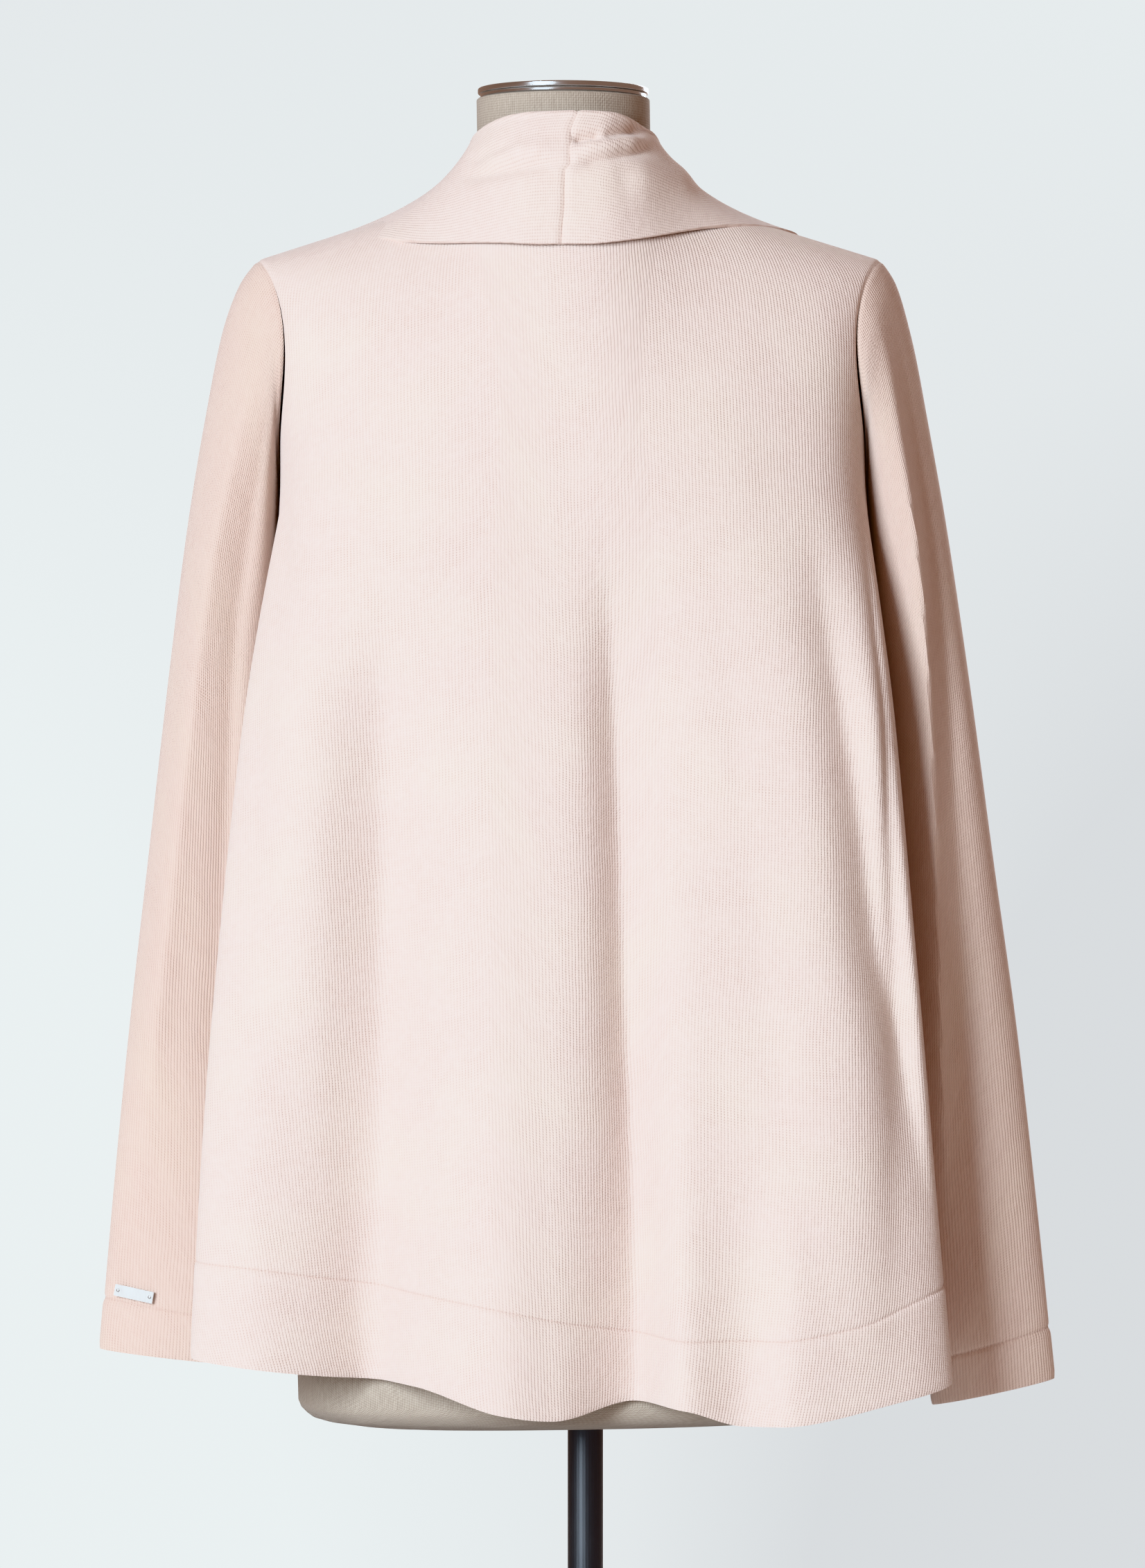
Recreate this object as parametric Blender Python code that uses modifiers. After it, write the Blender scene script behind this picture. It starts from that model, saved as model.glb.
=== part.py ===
"""Swing-back cardigan with a shawl collar, on a limbless dress form and its stand.

Metres, +Z up. The origin is the middle of the base plate's underside, under the pole.
The wearer faces -Y, so the back of the cardigan is on the +Y side and the wearer's
left is on the +X side.
"""

from math import cos, exp, pi, sin

import bmesh
import bpy
import numpy as np

# Cloth and seams
WALL = 0.0020
COLLAR_WALL = 0.0026
SEAM_GAP = 0.0003

# Heights: everything on the form is measured up from the form's underside
FORM_FOOT = 0.320
CHEST = 0.555
LEAN = 0.0169

# Upper edges of the cardigan's panels
NECK_ANGLE = 22.5
NECK_TURN = 1.15
NECK_HALF_WIDTH = 0.068
NECK_BACK = 0.062
NECK_BACK_HEIGHT = 0.732
NECK_SIDE_HEIGHT = 0.738
TIP_HALF_WIDTH = 0.189
TIP_HEIGHT = 0.700
CLOTH_SHIFT = -0.002
TIP_EASE = 1.6

# How far the panels round over the shoulders before they fall
NECK_ROUND = 0.110
SHOULDER_ROUND = 0.235
TIP_ROUND = 0.200
NECK_FALL = 0.050
CHEST_FALL = 0.170
ARMHOLE_BACK_DEPTH = 17.0
ARMHOLE_FRONT_DEPTH = 20.0
FRONT_EDGE = 157.5

# Roundness of the body's plain sections: 2 is an ellipse, and more is squarer

# Steps used to measure directions on the surfaces: degrees, and parts of the way
ANGLE_STEP = 0.3
DOWN_STEP = 0.004
TURN_STEP = 0.002

# Faces along and across each piece
NECK_COLUMNS = 6
SHOULDER_COLUMNS = 15
FRONT_COLUMNS = 15
YOKE_ROWS = 9
YOKE_CROWDING = 1.3
SKIRT_ROWS = 14
SLEEVE_RINGS = 18
LAPEL_ROWS = 5
STAND_STEPS = 2
ROLL_STEPS = 4
FALL_STEPS = 5
FORM_SIDES = 28
ROUND_SIDES = 36

# Sleeves
SLEEVE_EASE = 0.30
OUTER_RISE = 0.009
INNER_RISE = 0.012
SLEEVE_CROWDING = 1.25
FOLD_START = 0.25
FOLD_FADE_START = 0.70
FOLD_FADE_END = 0.93

# How far inside a panel's edge a point is taken that tells which side the panel is on
INSIDE_ANGLE = 4.0
INSIDE_DOWN = 0.05

# A sleeve's first ring stands square to the panel where the two agree this much
AGREE_START = -0.2
AGREE_END = 0.7

# Collar
ROLL_RADIUS = 0.0024
COLLAR_LIFT = 0.0036
COLLAR_SKEW = 0.03
LAPEL_TURN = 0.3

# Bare metal plate on the wearer's left cuff
PLATE_LENGTH = 0.025
PLATE_HEIGHT = 0.007
PLATE_THICK = 0.0012
PLATE_TURN = 0.155
PLATE_ALONG = 0.958
PLATE_CLEAR = 0.0003
PLATE_STEP = 0.01

# Stand
CAP_RADIUS = 0.0517
CAP_THICK = 0.0060
POLE_RADIUS = 0.0107
BASE_RADIUS = 0.160
BASE_THICK = 0.012
BASE_RIM = 0.002
SMALL_RIM = 0.0008

FINISHES = {
    "knit": ((0.79, 0.62, 0.56, 1.0), 0.95, 0.0),
    "linen": ((0.66, 0.55, 0.42, 1.0), 0.90, 0.0),
    "steel": ((0.62, 0.62, 0.63, 1.0), 0.22, 1.0),
    "gunmetal": ((0.10, 0.10, 0.11, 1.0), 0.35, 1.0),
}


def hermite(start, end, leave, arrive, part):
    """Cubic from start to end with the given tangents, at a part of the way."""
    square = part * part
    cube = square * part
    return (start * (2 * cube - 3 * square + 1) + end * (3 * square - 2 * cube)
            + leave * (cube - 2 * square + part) + arrive * (cube - square))


def smooth(part):
    """Ease from 0 to 1, flat at both ends."""
    part = min(max(part, 0.0), 1.0)
    return part * part * (3 - 2 * part)


def unit(vector):
    return vector / np.linalg.norm(vector)


class Table:
    """Rows of named columns, read between the rows along a smooth curve."""

    def __init__(self, columns, rows):
        ordered = np.array(sorted(rows), dtype=float)
        self.keys = ordered[:, 0]
        self.values = dict(zip(columns.split(), ordered.T))
        self.slopes = {}
        for name, values in self.values.items():
            self.slopes[name] = self.find_slopes(values)

    def find_slopes(self, values):
        """Slope at each row, flat where the column turns, so that no curve overshoots."""
        rises = np.diff(values) / np.diff(self.keys)
        slopes = np.zeros(len(values))
        slopes[0] = rises[0]
        slopes[-1] = rises[-1]
        for row in range(1, len(values) - 1):
            before, after = rises[row - 1], rises[row]
            if before * after > 0:
                slopes[row] = 2 * before * after / (before + after)
        return slopes

    def at(self, key, name):
        """The named column at a key; past the ends it keeps the end value."""
        key = min(max(key, self.keys[0]), self.keys[-1])
        row = int(np.searchsorted(self.keys, key, side="right")) - 1
        row = min(row, len(self.keys) - 2)
        step = self.keys[row + 1] - self.keys[row]
        values, slopes = self.values[name], self.slopes[name]
        return hermite(values[row], values[row + 1], slopes[row] * step,
                       slopes[row + 1] * step, (key - self.keys[row]) / step)


# Plain sections of the cardigan's body, from the chest down
BODY = Table("height half_width back front squareness", [
    (0.555, 0.177, 0.109, 0.127, 3.5),
    (0.480, 0.181, 0.116, 0.135, 4.6),
    (0.400, 0.184, 0.122, 0.133, 7.0),
    (0.300, 0.186, 0.127, 0.130, 7.5),
    (0.200, 0.188, 0.130, 0.129, 6.5),
    (0.000, 0.190, 0.132, 0.129, 4.5),
])

# The hem line round the body, a row for each fold's crest or trough: the angle from
# the centre back towards the wearer's left, the place of the hem there, the height
# where the fold dies out, how much of it is left half-way down, and the hem's height
HEM = Table("angle x y start middle hem", [
    (-157.5, -0.0400, -0.126, 0.34, 0.35, 0.0470),
    (-137.0, -0.0960, -0.140, 0.42, 0.40, 0.0450),
    (-120.0, -0.1460, -0.100, 0.36, 0.35, 0.0470),
    (-104.0, -0.1820, -0.054, 0.42, 0.50, 0.0440),
    (-90.0, -0.1900, 0.004, 0.50, 0.50, 0.0400),
    (-82.0, -0.1980, 0.050, 0.54, 0.50, 0.0340),
    (-73.0, -0.2165, 0.100, 0.55, 0.46, 0.0290),
    (-60.0, -0.1760, 0.132, 0.34, 0.36, 0.0180),
    (-46.0, -0.1210, 0.148, 0.34, 0.30, 0.0075),
    (-37.0, -0.0940, 0.135, 0.32, 0.26, 0.0065),
    (-24.0, -0.0580, 0.150, 0.43, 0.30, 0.0165),
    (-11.0, -0.0280, 0.113, 0.44, 0.28, 0.0195),
    (8.0, 0.0180, 0.140, 0.43, 0.30, 0.0100),
    (21.0, 0.0500, 0.151, 0.43, 0.30, 0.0140),
    (39.0, 0.1020, 0.138, 0.42, 0.30, 0.0290),
    (50.0, 0.1350, 0.112, 0.43, 0.28, 0.0315),
    (64.0, 0.1960, 0.126, 0.50, 0.50, 0.0390),
    (74.0, 0.2330, 0.102, 0.55, 0.62, 0.0440),
    (82.0, 0.2080, 0.052, 0.54, 0.50, 0.0450),
    (90.0, 0.1960, 0.004, 0.50, 0.50, 0.0460),
    (104.0, 0.1860, -0.054, 0.42, 0.50, 0.0470),
    (120.0, 0.1500, -0.098, 0.36, 0.35, 0.0490),
    (137.0, 0.1000, -0.140, 0.42, 0.40, 0.0470),
    (157.5, 0.0440, -0.126, 0.34, 0.35, 0.0490),
])

# Narrower folds down the back between the chest and the hem, from the wearer's left to
# right: how wide each is on its wearer's left and right, then where its trough runs
# across the back and how deep it is, by height. The left flanks of the troughs are the
# steep ones, and a ridge has a negative depth: the last one is the back's right edge
BACK_FOLDS = [
    (0.026, 0.036, Table("height x depth", [
        (0.600, 0.118, 0.000),
        (0.530, 0.118, 0.000),
        (0.420, 0.120, 0.013),
        (0.300, 0.119, 0.021),
        (0.170, 0.121, 0.024),
        (0.040, 0.121, 0.024),
    ])),
    (0.016, 0.038, Table("height x depth", [
        (0.600, -0.012, 0.000),
        (0.560, -0.012, 0.000),
        (0.480, -0.015, 0.011),
        (0.410, -0.018, 0.019),
        (0.250, -0.024, 0.020),
        (0.150, -0.029, 0.014),
        (0.080, -0.032, 0.008),
        (0.020, -0.034, 0.005),
    ])),
    (0.022, 0.030, Table("height x depth", [
        (0.600, -0.073, 0.000),
        (0.550, -0.073, 0.000),
        (0.420, -0.088, 0.003),
        (0.300, -0.100, 0.003),
        (0.180, -0.118, 0.003),
        (0.040, -0.150, 0.002),
    ])),
    (0.015, 0.018, Table("height x depth", [
        (0.600, -0.130, 0.000),
        (0.555, -0.132, 0.000),
        (0.478, -0.143, 0.009),
        (0.416, -0.154, 0.014),
        (0.355, -0.163, 0.017),
        (0.294, -0.170, 0.018),
        (0.232, -0.184, 0.014),
        (0.172, -0.196, 0.010),
        (0.117, -0.206, 0.005),
        (0.040, -0.212, 0.002),
    ])),
    (0.016, 0.012, Table("height x depth", [
        (0.600, -0.170, 0.000),
        (0.550, -0.171, 0.000),
        (0.500, -0.174, -0.010),
        (0.420, -0.181, -0.018),
        (0.300, -0.192, -0.018),
        (0.200, -0.200, -0.012),
        (0.120, -0.206, -0.004),
        (0.040, -0.210, 0.000),
    ])),
]
FOLD_SHARPNESS = 1.5
FOLD_EDGE_FADE = 12.0

# A sleeve's outer and inner lines, for the one on +X, and its depth behind and in
# front of them; sway moves the outer lines of both towards the wearer's left
SLEEVE = Table("along outer outer_height inner inner_height back front sway", [
    (0.00, 0.1890, 0.7000, 0.1770, 0.5550, 0.055, 0.055, 0.0098),
    (0.04, 0.1985, 0.6860, 0.1800, 0.5535, 0.055, 0.056, 0.0105),
    (0.09, 0.2085, 0.6560, 0.1812, 0.5400, 0.053, 0.056, 0.0115),
    (0.17, 0.2184, 0.6062, 0.1828, 0.5050, 0.049, 0.055, 0.0115),
    (0.28, 0.2300, 0.5380, 0.1850, 0.4500, 0.044, 0.053, 0.0110),
    (0.42, 0.2430, 0.4430, 0.1880, 0.3780, 0.038, 0.048, 0.0098),
    (0.58, 0.2560, 0.3380, 0.1920, 0.2900, 0.032, 0.041, 0.0085),
    (0.74, 0.2680, 0.2430, 0.1970, 0.2050, 0.026, 0.032, 0.0070),
    (0.88, 0.2790, 0.1400, 0.2030, 0.1100, 0.021, 0.025, 0.0060),
    (1.00, 0.2892, 0.0320, 0.2080, 0.0190, 0.018, 0.020, 0.0050),
])

# Long folds on the back of each sleeve: how wide each is on its outer and inner side,
# how high it is, and its place round the sleeve by the way down, 0 on the outer side
# and 0.5 on the inner side. A trough's height is negative
SLEEVE_FOLDS = {
    1: [
        (0.085, 0.050, 0.0090, Table("along turn", [
            (0.05, 0.210),
            (0.30, 0.185),
            (0.50, 0.165),
            (0.80, 0.150),
        ])),
        (0.060, 0.040, -0.0060, Table("along turn", [
            (0.05, 0.300),
            (0.30, 0.290),
            (0.50, 0.300),
            (0.80, 0.310),
        ])),
    ],
    -1: [
        (0.030, 0.080, 0.0130, Table("along turn", [
            (0.085, 0.180),
            (0.310, 0.235),
            (0.440, 0.261),
            (0.580, 0.289),
            (0.720, 0.317),
            (0.820, 0.340),
        ])),
        (0.060, 0.040, -0.0080, Table("along turn", [
            (0.085, 0.110),
            (0.310, 0.160),
            (0.580, 0.210),
            (0.820, 0.250),
        ])),
    ],
}
SLEEVE_FOLD_SHARPNESS = 1.4

# The collar from the centre back to the end of the lapel. Seam is -1 at the centre
# back, 0 where the shoulder meets the neck, and then the way down the front edge;
# away and over place its outer edge on the body: the angle from the centre back or
# front, and the way down from the shoulder, which is negative behind it. The wearer's
# left half hangs a little lower there than the right one
COLLAR = Table("seam roll_x roll_y roll_height away over_left over_right belly", [
    (-1.00, 0.0000, 0.0665, 0.7812, 0.0, -0.27, -0.27, 0.002),
    (-0.66, 0.0262, 0.0605, 0.7806, 11.0, -0.285, -0.28, 0.002),
    (-0.33, 0.0445, 0.0410, 0.7765, 24.0, -0.32, -0.285, 0.000),
    (-0.17, 0.0515, 0.0270, 0.7730, 32.0, -0.29, -0.215, -0.003),
    (0.00, 0.0570, 0.0080, 0.7690, 42.0, -0.215, -0.125, -0.006),
    (0.06, 0.0577, -0.0080, 0.7655, 49.0, -0.09, -0.06, -0.007),
    (0.14, 0.0580, -0.0300, 0.7570, 54.0, 0.055, 0.055, -0.006),
    (0.25, 0.0570, -0.0600, 0.7340, 53.5, 0.18, 0.18, 0.000),
    (0.60, 0.0460, -0.1170, 0.6540, 48.0, 0.66, 0.66, 0.009),
    (1.00, 0.0380, -0.1380, 0.5560, 43.0, 1.06, 1.06, 0.008),
    (1.17, 0.0400, -0.1445, 0.4700, 36.0, 1.24, 1.24, 0.006),
    (1.36, 0.0460, -0.1430, 0.3750, 26.0, 1.38, 1.38, 0.003),
])

# Sections of the dress form, from its underside to the top of its neck
FORM = Table("height half_width front back squareness", [
    (0.000, 0.1440, 0.0800, 0.0860, 2.5),
    (0.004, 0.1650, 0.0930, 0.0985, 2.5),
    (0.014, 0.1735, 0.0985, 0.1045, 2.5),
    (0.090, 0.1740, 0.0990, 0.1070, 2.5),
    (0.170, 0.1660, 0.0950, 0.1020, 2.5),
    (0.250, 0.1420, 0.0860, 0.0880, 2.4),
    (0.300, 0.1310, 0.0840, 0.0800, 2.4),
    (0.360, 0.1360, 0.0960, 0.0800, 2.4),
    (0.430, 0.1480, 0.1160, 0.0850, 2.4),
    (0.480, 0.1530, 0.1220, 0.0890, 2.4),
    (0.540, 0.1560, 0.1080, 0.0930, 2.4),
    (0.600, 0.1600, 0.0940, 0.0910, 2.4),
    (0.650, 0.1620, 0.0740, 0.0780, 2.4),
    (0.689, 0.1580, 0.0565, 0.0615, 2.3),
    (0.703, 0.1480, 0.0520, 0.0550, 2.3),
    (0.715, 0.1290, 0.0490, 0.0500, 2.2),
    (0.7245, 0.0940, 0.0460, 0.0465, 2.1),
    (0.732, 0.0620, 0.0470, 0.0475, 2.0),
    (0.742, 0.0535, 0.0500, 0.0500, 2.0),
    (0.760, 0.0525, 0.0520, 0.0520, 2.0),
    (0.798, 0.0525, 0.0525, 0.0525, 2.0),
])


def lean(height):
    """Sideways shift of the leaning form at a height above its underside."""
    return LEAN * height


def rounded(angle, half_width, depth, squareness):
    """A point of a rounded section, x across and y towards the back."""
    across, back = sin(angle * pi / 180), cos(angle * pi / 180)
    reach = ((abs(across) / half_width) ** squareness
             + (abs(back) / depth) ** squareness) ** (-1 / squareness)
    return reach * across, reach * back


def top_edge(angle):
    """The upper edge of the panels: round the neck, then out to the shoulder's tip."""
    side = 1 if angle >= 0 else -1
    away = min(abs(angle), 180 - abs(angle))
    if away < NECK_ANGLE:
        turn = NECK_TURN * away / NECK_ANGLE
        rise = (away / NECK_ANGLE) ** 2
        height = NECK_BACK_HEIGHT + (NECK_SIDE_HEIGHT - NECK_BACK_HEIGHT) * rise
        across = NECK_HALF_WIDTH * sin(turn) / sin(NECK_TURN)
        behind = NECK_BACK * (cos(turn) - cos(NECK_TURN)) / (1 - cos(NECK_TURN))
        facing = 1 if abs(angle) < 90 else -1
        return np.array([lean(height) + side * across, facing * behind, height])
    out = 1 - (1 - (away - NECK_ANGLE) / (90 - NECK_ANGLE)) ** TIP_EASE
    height = NECK_SIDE_HEIGHT + (TIP_HEIGHT - NECK_SIDE_HEIGHT) * out
    across = NECK_HALF_WIDTH + (TIP_HALF_WIDTH - NECK_HALF_WIDTH) * out
    return np.array([lean(height) + CLOTH_SHIFT * out + side * across, 0.0, height])


def back_folds(angle, x, height):
    """How far the narrow folds take the back inwards at a place."""
    depth = 0.0
    for left_width, right_width, course in BACK_FOLDS:
        aside = x - course.at(height, "x")
        width = left_width if aside > 0 else right_width
        depth += course.at(height, "depth") * exp(-abs(aside / width) ** FOLD_SHARPNESS)
    return depth * smooth((90 - abs(angle)) / FOLD_EDGE_FADE)


def skirt(angle, height):
    """The body below the chest: a plain section, and folds that grow towards the hem."""
    depth = BODY.at(height, "back" if abs(angle) < 90 else "front")
    x, y = rounded(angle, BODY.at(height, "half_width"), depth, BODY.at(height, "squareness"))
    plain = np.array([x + lean(height) + CLOTH_SHIFT, y])
    start, hem = HEM.at(angle, "start"), HEM.at(angle, "hem")
    part = min(max((start - height) / (start - hem), 0.0), 1.0)
    grown = part + 4 * (HEM.at(angle, "middle") - 0.5) * part * (1 - part)
    depth = BODY.at(hem, "back" if abs(angle) < 90 else "front")
    x, y = rounded(angle, BODY.at(hem, "half_width"), depth, BODY.at(hem, "squareness"))
    low = np.array([x + lean(hem) + CLOTH_SHIFT, y])
    folded = np.array([HEM.at(angle, "x"), HEM.at(angle, "y")])
    x, y = plain + (folded - low) * grown
    return np.array([x, y - back_folds(angle, x, height), height])


def yoke(angle, down):
    """The body above the chest, rounding over the shoulder from the top edge."""
    away = min(abs(angle), 180 - abs(angle))
    facing = 1 if abs(angle) < 90 else -1
    if away < NECK_ANGLE:
        share = away / NECK_ANGLE
        rounding = NECK_ROUND + (SHOULDER_ROUND - NECK_ROUND) * smooth(share)
        fall = NECK_FALL * cos(pi / 2 * share)
    else:
        share = (away - NECK_ANGLE) / (90 - NECK_ANGLE)
        rounding = SHOULDER_ROUND + (TIP_ROUND - SHOULDER_ROUND) * share
        fall = 0.0
    below = (skirt(angle, CHEST - DOWN_STEP) - skirt(angle, CHEST)) / DOWN_STEP
    leave = np.array([0.0, facing * rounding, -fall])
    return hermite(top_edge(angle), skirt(angle, CHEST), leave, below * CHEST_FALL, down)


def body(angle, down):
    """The cardigan's outer face: down is 0 at the shoulder, 1 at the chest, 2 at the hem."""
    if down <= 1:
        return yoke(angle, down)
    return skirt(angle, CHEST + (HEM.at(angle, "hem") - CHEST) * (down - 1))


def body_normal(angle, down):
    """Outward direction of the cardigan's face."""
    side = 1 if angle > 0 else -1
    before, after = angle - ANGLE_STEP, angle + ANGLE_STEP
    if down < DOWN_STEP and abs(abs(angle) - 90) < ANGLE_STEP:
        before, after = sorted((side * 90.0, side * (90 + 2 * ANGLE_STEP)))
    turned = body(after, down) - body(before, down)
    lowered = body(angle, down + DOWN_STEP) - body(angle, down - DOWN_STEP)
    return unit(np.cross(turned, lowered))


def armhole(turn):
    """The place on the body where the sleeve's seam passes, turn 0 at the tip."""
    if turn <= 0.5:
        return 90 - ARMHOLE_BACK_DEPTH * sin(2 * pi * turn), 2 * turn
    return 90 - ARMHOLE_FRONT_DEPTH * sin(2 * pi * turn), 2 - 2 * turn


def rim(curve, at, inside):
    """A point on a panel's edge, its outward direction, and the way off the panel."""
    point = body(*curve(at))
    outward = body_normal(*curve(at))
    ahead = body(*curve(at + TURN_STEP)) - body(*curve(at - TURN_STEP))
    off = unit(np.cross(ahead, outward))
    if np.dot(off, body(*inside) - point) > 0:
        off = -off
    return point, outward, off


def sleeve(side, turn, along):
    """A sleeve's outer face, from its armhole seam to its hem."""
    def value(name):
        return SLEEVE.at(along, name)

    share = side * along ** 2
    high, low = value("outer_height"), value("inner_height")
    outer = np.array([value("sway") + side * value("outer"), 0, high + OUTER_RISE * share])
    inner = np.array([lean(low) + CLOTH_SHIFT + side * value("inner"), 0,
                      low + INNER_RISE * share])
    deep = value("back" if turn <= 0.5 else "front")
    point = (outer + inner) / 2 + (outer - inner) / 2 * cos(2 * pi * turn)
    point[1] += deep * sin(2 * pi * turn)
    faded = smooth((along - FOLD_FADE_START) / (FOLD_FADE_END - FOLD_FADE_START))
    grown = smooth(along / FOLD_START) * (1 - faded)
    for outer_width, inner_width, height, course in SLEEVE_FOLDS[side]:
        aside = turn - course.at(along, "turn")
        width = outer_width if aside < 0 else inner_width
        point[1] += height * grown * exp(-abs(aside / width) ** SLEEVE_FOLD_SHARPNESS)
    return point


def sleeve_seam(side, turn):
    """The armhole rim that the sleeve starts from, on its own side."""
    def place(at):
        angle, down = armhole(at % 1.0)
        return side * angle, down

    angle, down = place(turn)
    inward = -INSIDE_ANGLE if turn < 0.5 else INSIDE_ANGLE
    inside = (angle + side * inward, down)
    if turn == 0.5:
        inside = (angle, 1 + INSIDE_DOWN)
    return rim(place, turn, inside)


def sleeve_grids(side):
    """Outer and inner rings of a sleeve; the first ring follows the armhole's rim."""
    half = [down / 2 for down in yoke_rows()]
    turn_list = half[:-1] + [1 - turn for turn in half[:0:-1]]
    turns = len(turn_list)
    seams = [sleeve_seam(side, turn) for turn in turn_list]
    outer = np.zeros((SLEEVE_RINGS + 1, turns, 3))
    for ring in range(SLEEVE_RINGS + 1):
        along = (ring / SLEEVE_RINGS) ** SLEEVE_CROWDING
        left = 1 - smooth(along / SLEEVE_EASE)
        for number, (point, _, off) in enumerate(seams):
            turn = turn_list[number]
            start = point + off * SEAM_GAP
            outer[ring, number] = (sleeve(side, turn, along)
                                   + (start - sleeve(side, turn, 0.0)) * left)
    ahead = np.roll(outer, -1, axis=1) - np.roll(outer, 1, axis=1)
    lower = np.gradient(outer, axis=0)
    outward = side * np.cross(lower, ahead)
    outward /= np.linalg.norm(outward, axis=2, keepdims=True)
    for number, (_, panel_outward, _) in enumerate(seams):
        agree = smooth((np.dot(outward[0, number], panel_outward) - AGREE_START)
                       / (AGREE_END - AGREE_START))
        outward[0, number] = unit(panel_outward * agree + outward[0, number] * (1 - agree))
    return outer, outer - outward * WALL


def collar_seam_place(seam):
    """The place on the body of the collar's seam, on the wearer's left."""
    if seam < 0:
        return NECK_ANGLE * (1 + seam), 0.0
    return FRONT_EDGE, seam


def collar_station(side, seam):
    """The middle of the collar's cloth at a station, from its seam to its outer edge."""
    def value(name):
        return COLLAR.at(seam, name)

    def place(at):
        angle, down = collar_seam_place(at)
        return side * angle, down

    angle, down = place(seam)
    inside = (angle, down + INSIDE_DOWN)
    if seam >= 0:
        inside = (side * (FRONT_EDGE - INSIDE_ANGLE), down)
    point, outward, off = rim(place, seam, inside)
    middle = (point[0] + body(-angle, down)[0]) / 2
    roll = np.array([middle + side * value("roll_x"), value("roll_y"), value("roll_height")])
    rim_middle = point - outward * WALL / 2
    up = unit(roll - rim_middle)
    clear = SEAM_GAP + COLLAR_WALL / 2 * np.linalg.norm(np.cross(up, off))
    start = rim_middle + off * clear
    from_neck = unit(np.array([roll[0] - middle, roll[1], 0.0]))
    share = smooth(seam / LAPEL_TURN)
    facing = from_neck * (1 - share) + outward * share
    up = unit(roll - start)
    across = unit(facing - up * np.dot(facing, up))

    away = value("away") * (1 + side * COLLAR_SKEW)
    over = value("over_left" if side > 0 else "over_right")
    edge_place = (side * away, -over) if over < 0 else (side * (180 - away), over)
    edge = body(*edge_place) + body_normal(*edge_place) * COLLAR_LIFT

    points = []
    near, far = roll - across * ROLL_RADIUS, roll + across * ROLL_RADIUS
    for step in range(STAND_STEPS):
        points.append(start + (near - start) * step / STAND_STEPS)
    for step in range(ROLL_STEPS + 1):
        turn = pi * step / ROLL_STEPS
        points.append(roll - across * ROLL_RADIUS * cos(turn) + up * ROLL_RADIUS * sin(turn))
    chord = edge - far
    bulge = facing - chord * np.dot(facing, chord) / np.dot(chord, chord)
    for step in range(1, FALL_STEPS + 1):
        part = step / FALL_STEPS
        lift = value("belly") * 4 * part * (1 - part)
        points.append(far + chord * part + unit(bulge) * lift)
    return points


def collar_grids():
    """Outer and inner faces of the whole collar, from one lapel's end to the other's.

    Its stations are at the panels' own columns and rows, so the seam follows their edge.
    """
    stations = list(np.linspace(-1, 0, NECK_COLUMNS + 1))
    stations += panel_rows()[1:YOKE_ROWS + LAPEL_ROWS + 1]
    half = len(stations) - 1
    rows = [collar_station(-1, seam) for seam in stations[:0:-1]]
    rows += [collar_station(1, seam) for seam in stations]
    middle = np.array(rows)
    middle[half, :, 0] = middle[half, :, 0].mean()
    along = np.gradient(middle, axis=0)
    across = np.gradient(middle, axis=1)
    outward = np.cross(along, across)
    outward /= np.linalg.norm(outward, axis=2, keepdims=True)
    upper, under = middle + outward * COLLAR_WALL / 2, middle - outward * COLLAR_WALL / 2
    return half, upper, under


def panel_grids(edge_angles, rows, joined):
    """Outer and inner faces of a panel; joined lists the edges that meet another panel."""
    outer = np.zeros((len(rows), len(edge_angles(0.0)), 3))
    inner = np.zeros_like(outer)
    for row, down in enumerate(rows):
        for column, angle in enumerate(edge_angles(down)):
            outer[row, column] = body(angle, down)
            inner[row, column] = outer[row, column] - body_normal(angle, down) * WALL
    for edge, beside in joined:
        gap = outer[beside] - outer[edge]
        gap = gap / np.linalg.norm(gap, axis=-1, keepdims=True) * SEAM_GAP / 2
        outer[edge] += gap
        inner[edge] += gap
    return outer, inner


def yoke_rows():
    """Ways down from the shoulder to the chest, closer together near the shoulder."""
    return [(row / YOKE_ROWS) ** YOKE_CROWDING for row in range(YOKE_ROWS + 1)]


def panel_rows():
    """Ways down the whole panel, from the shoulder to the hem."""
    return yoke_rows() + [1 + row / SKIRT_ROWS for row in range(1, SKIRT_ROWS + 1)]


def back_grids():
    neck = np.linspace(0, NECK_ANGLE, NECK_COLUMNS + 1)
    shoulder = np.linspace(NECK_ANGLE, 90, SHOULDER_COLUMNS + 1)
    half = np.append(neck, shoulder[1:])

    def angles(down):
        edge = armhole(down / 2)[0] if down < 1 else 90.0
        return np.append(-half[:0:-1], half) * edge / 90

    shoulders = [(np.s_[0, :SHOULDER_COLUMNS + 1], np.s_[1, :SHOULDER_COLUMNS + 1]),
                 (np.s_[0, -SHOULDER_COLUMNS - 1:], np.s_[1, -SHOULDER_COLUMNS - 1:])]
    sides = [(np.s_[YOKE_ROWS:, 0], np.s_[YOKE_ROWS:, 1]),
             (np.s_[YOKE_ROWS:, -1], np.s_[YOKE_ROWS:, -2])]
    return panel_grids(angles, panel_rows(), shoulders + sides)


def front_grids(side):
    def angles(down):
        edge = armhole(1 - down / 2)[0] if 0 < down < 1 else 90.0
        return side * np.linspace(edge, FRONT_EDGE, FRONT_COLUMNS + 1)

    joined = [(np.s_[0, :], np.s_[1, :]), (np.s_[YOKE_ROWS:, 0], np.s_[YOKE_ROWS:, 1])]
    return panel_grids(angles, panel_rows(), joined)


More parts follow.
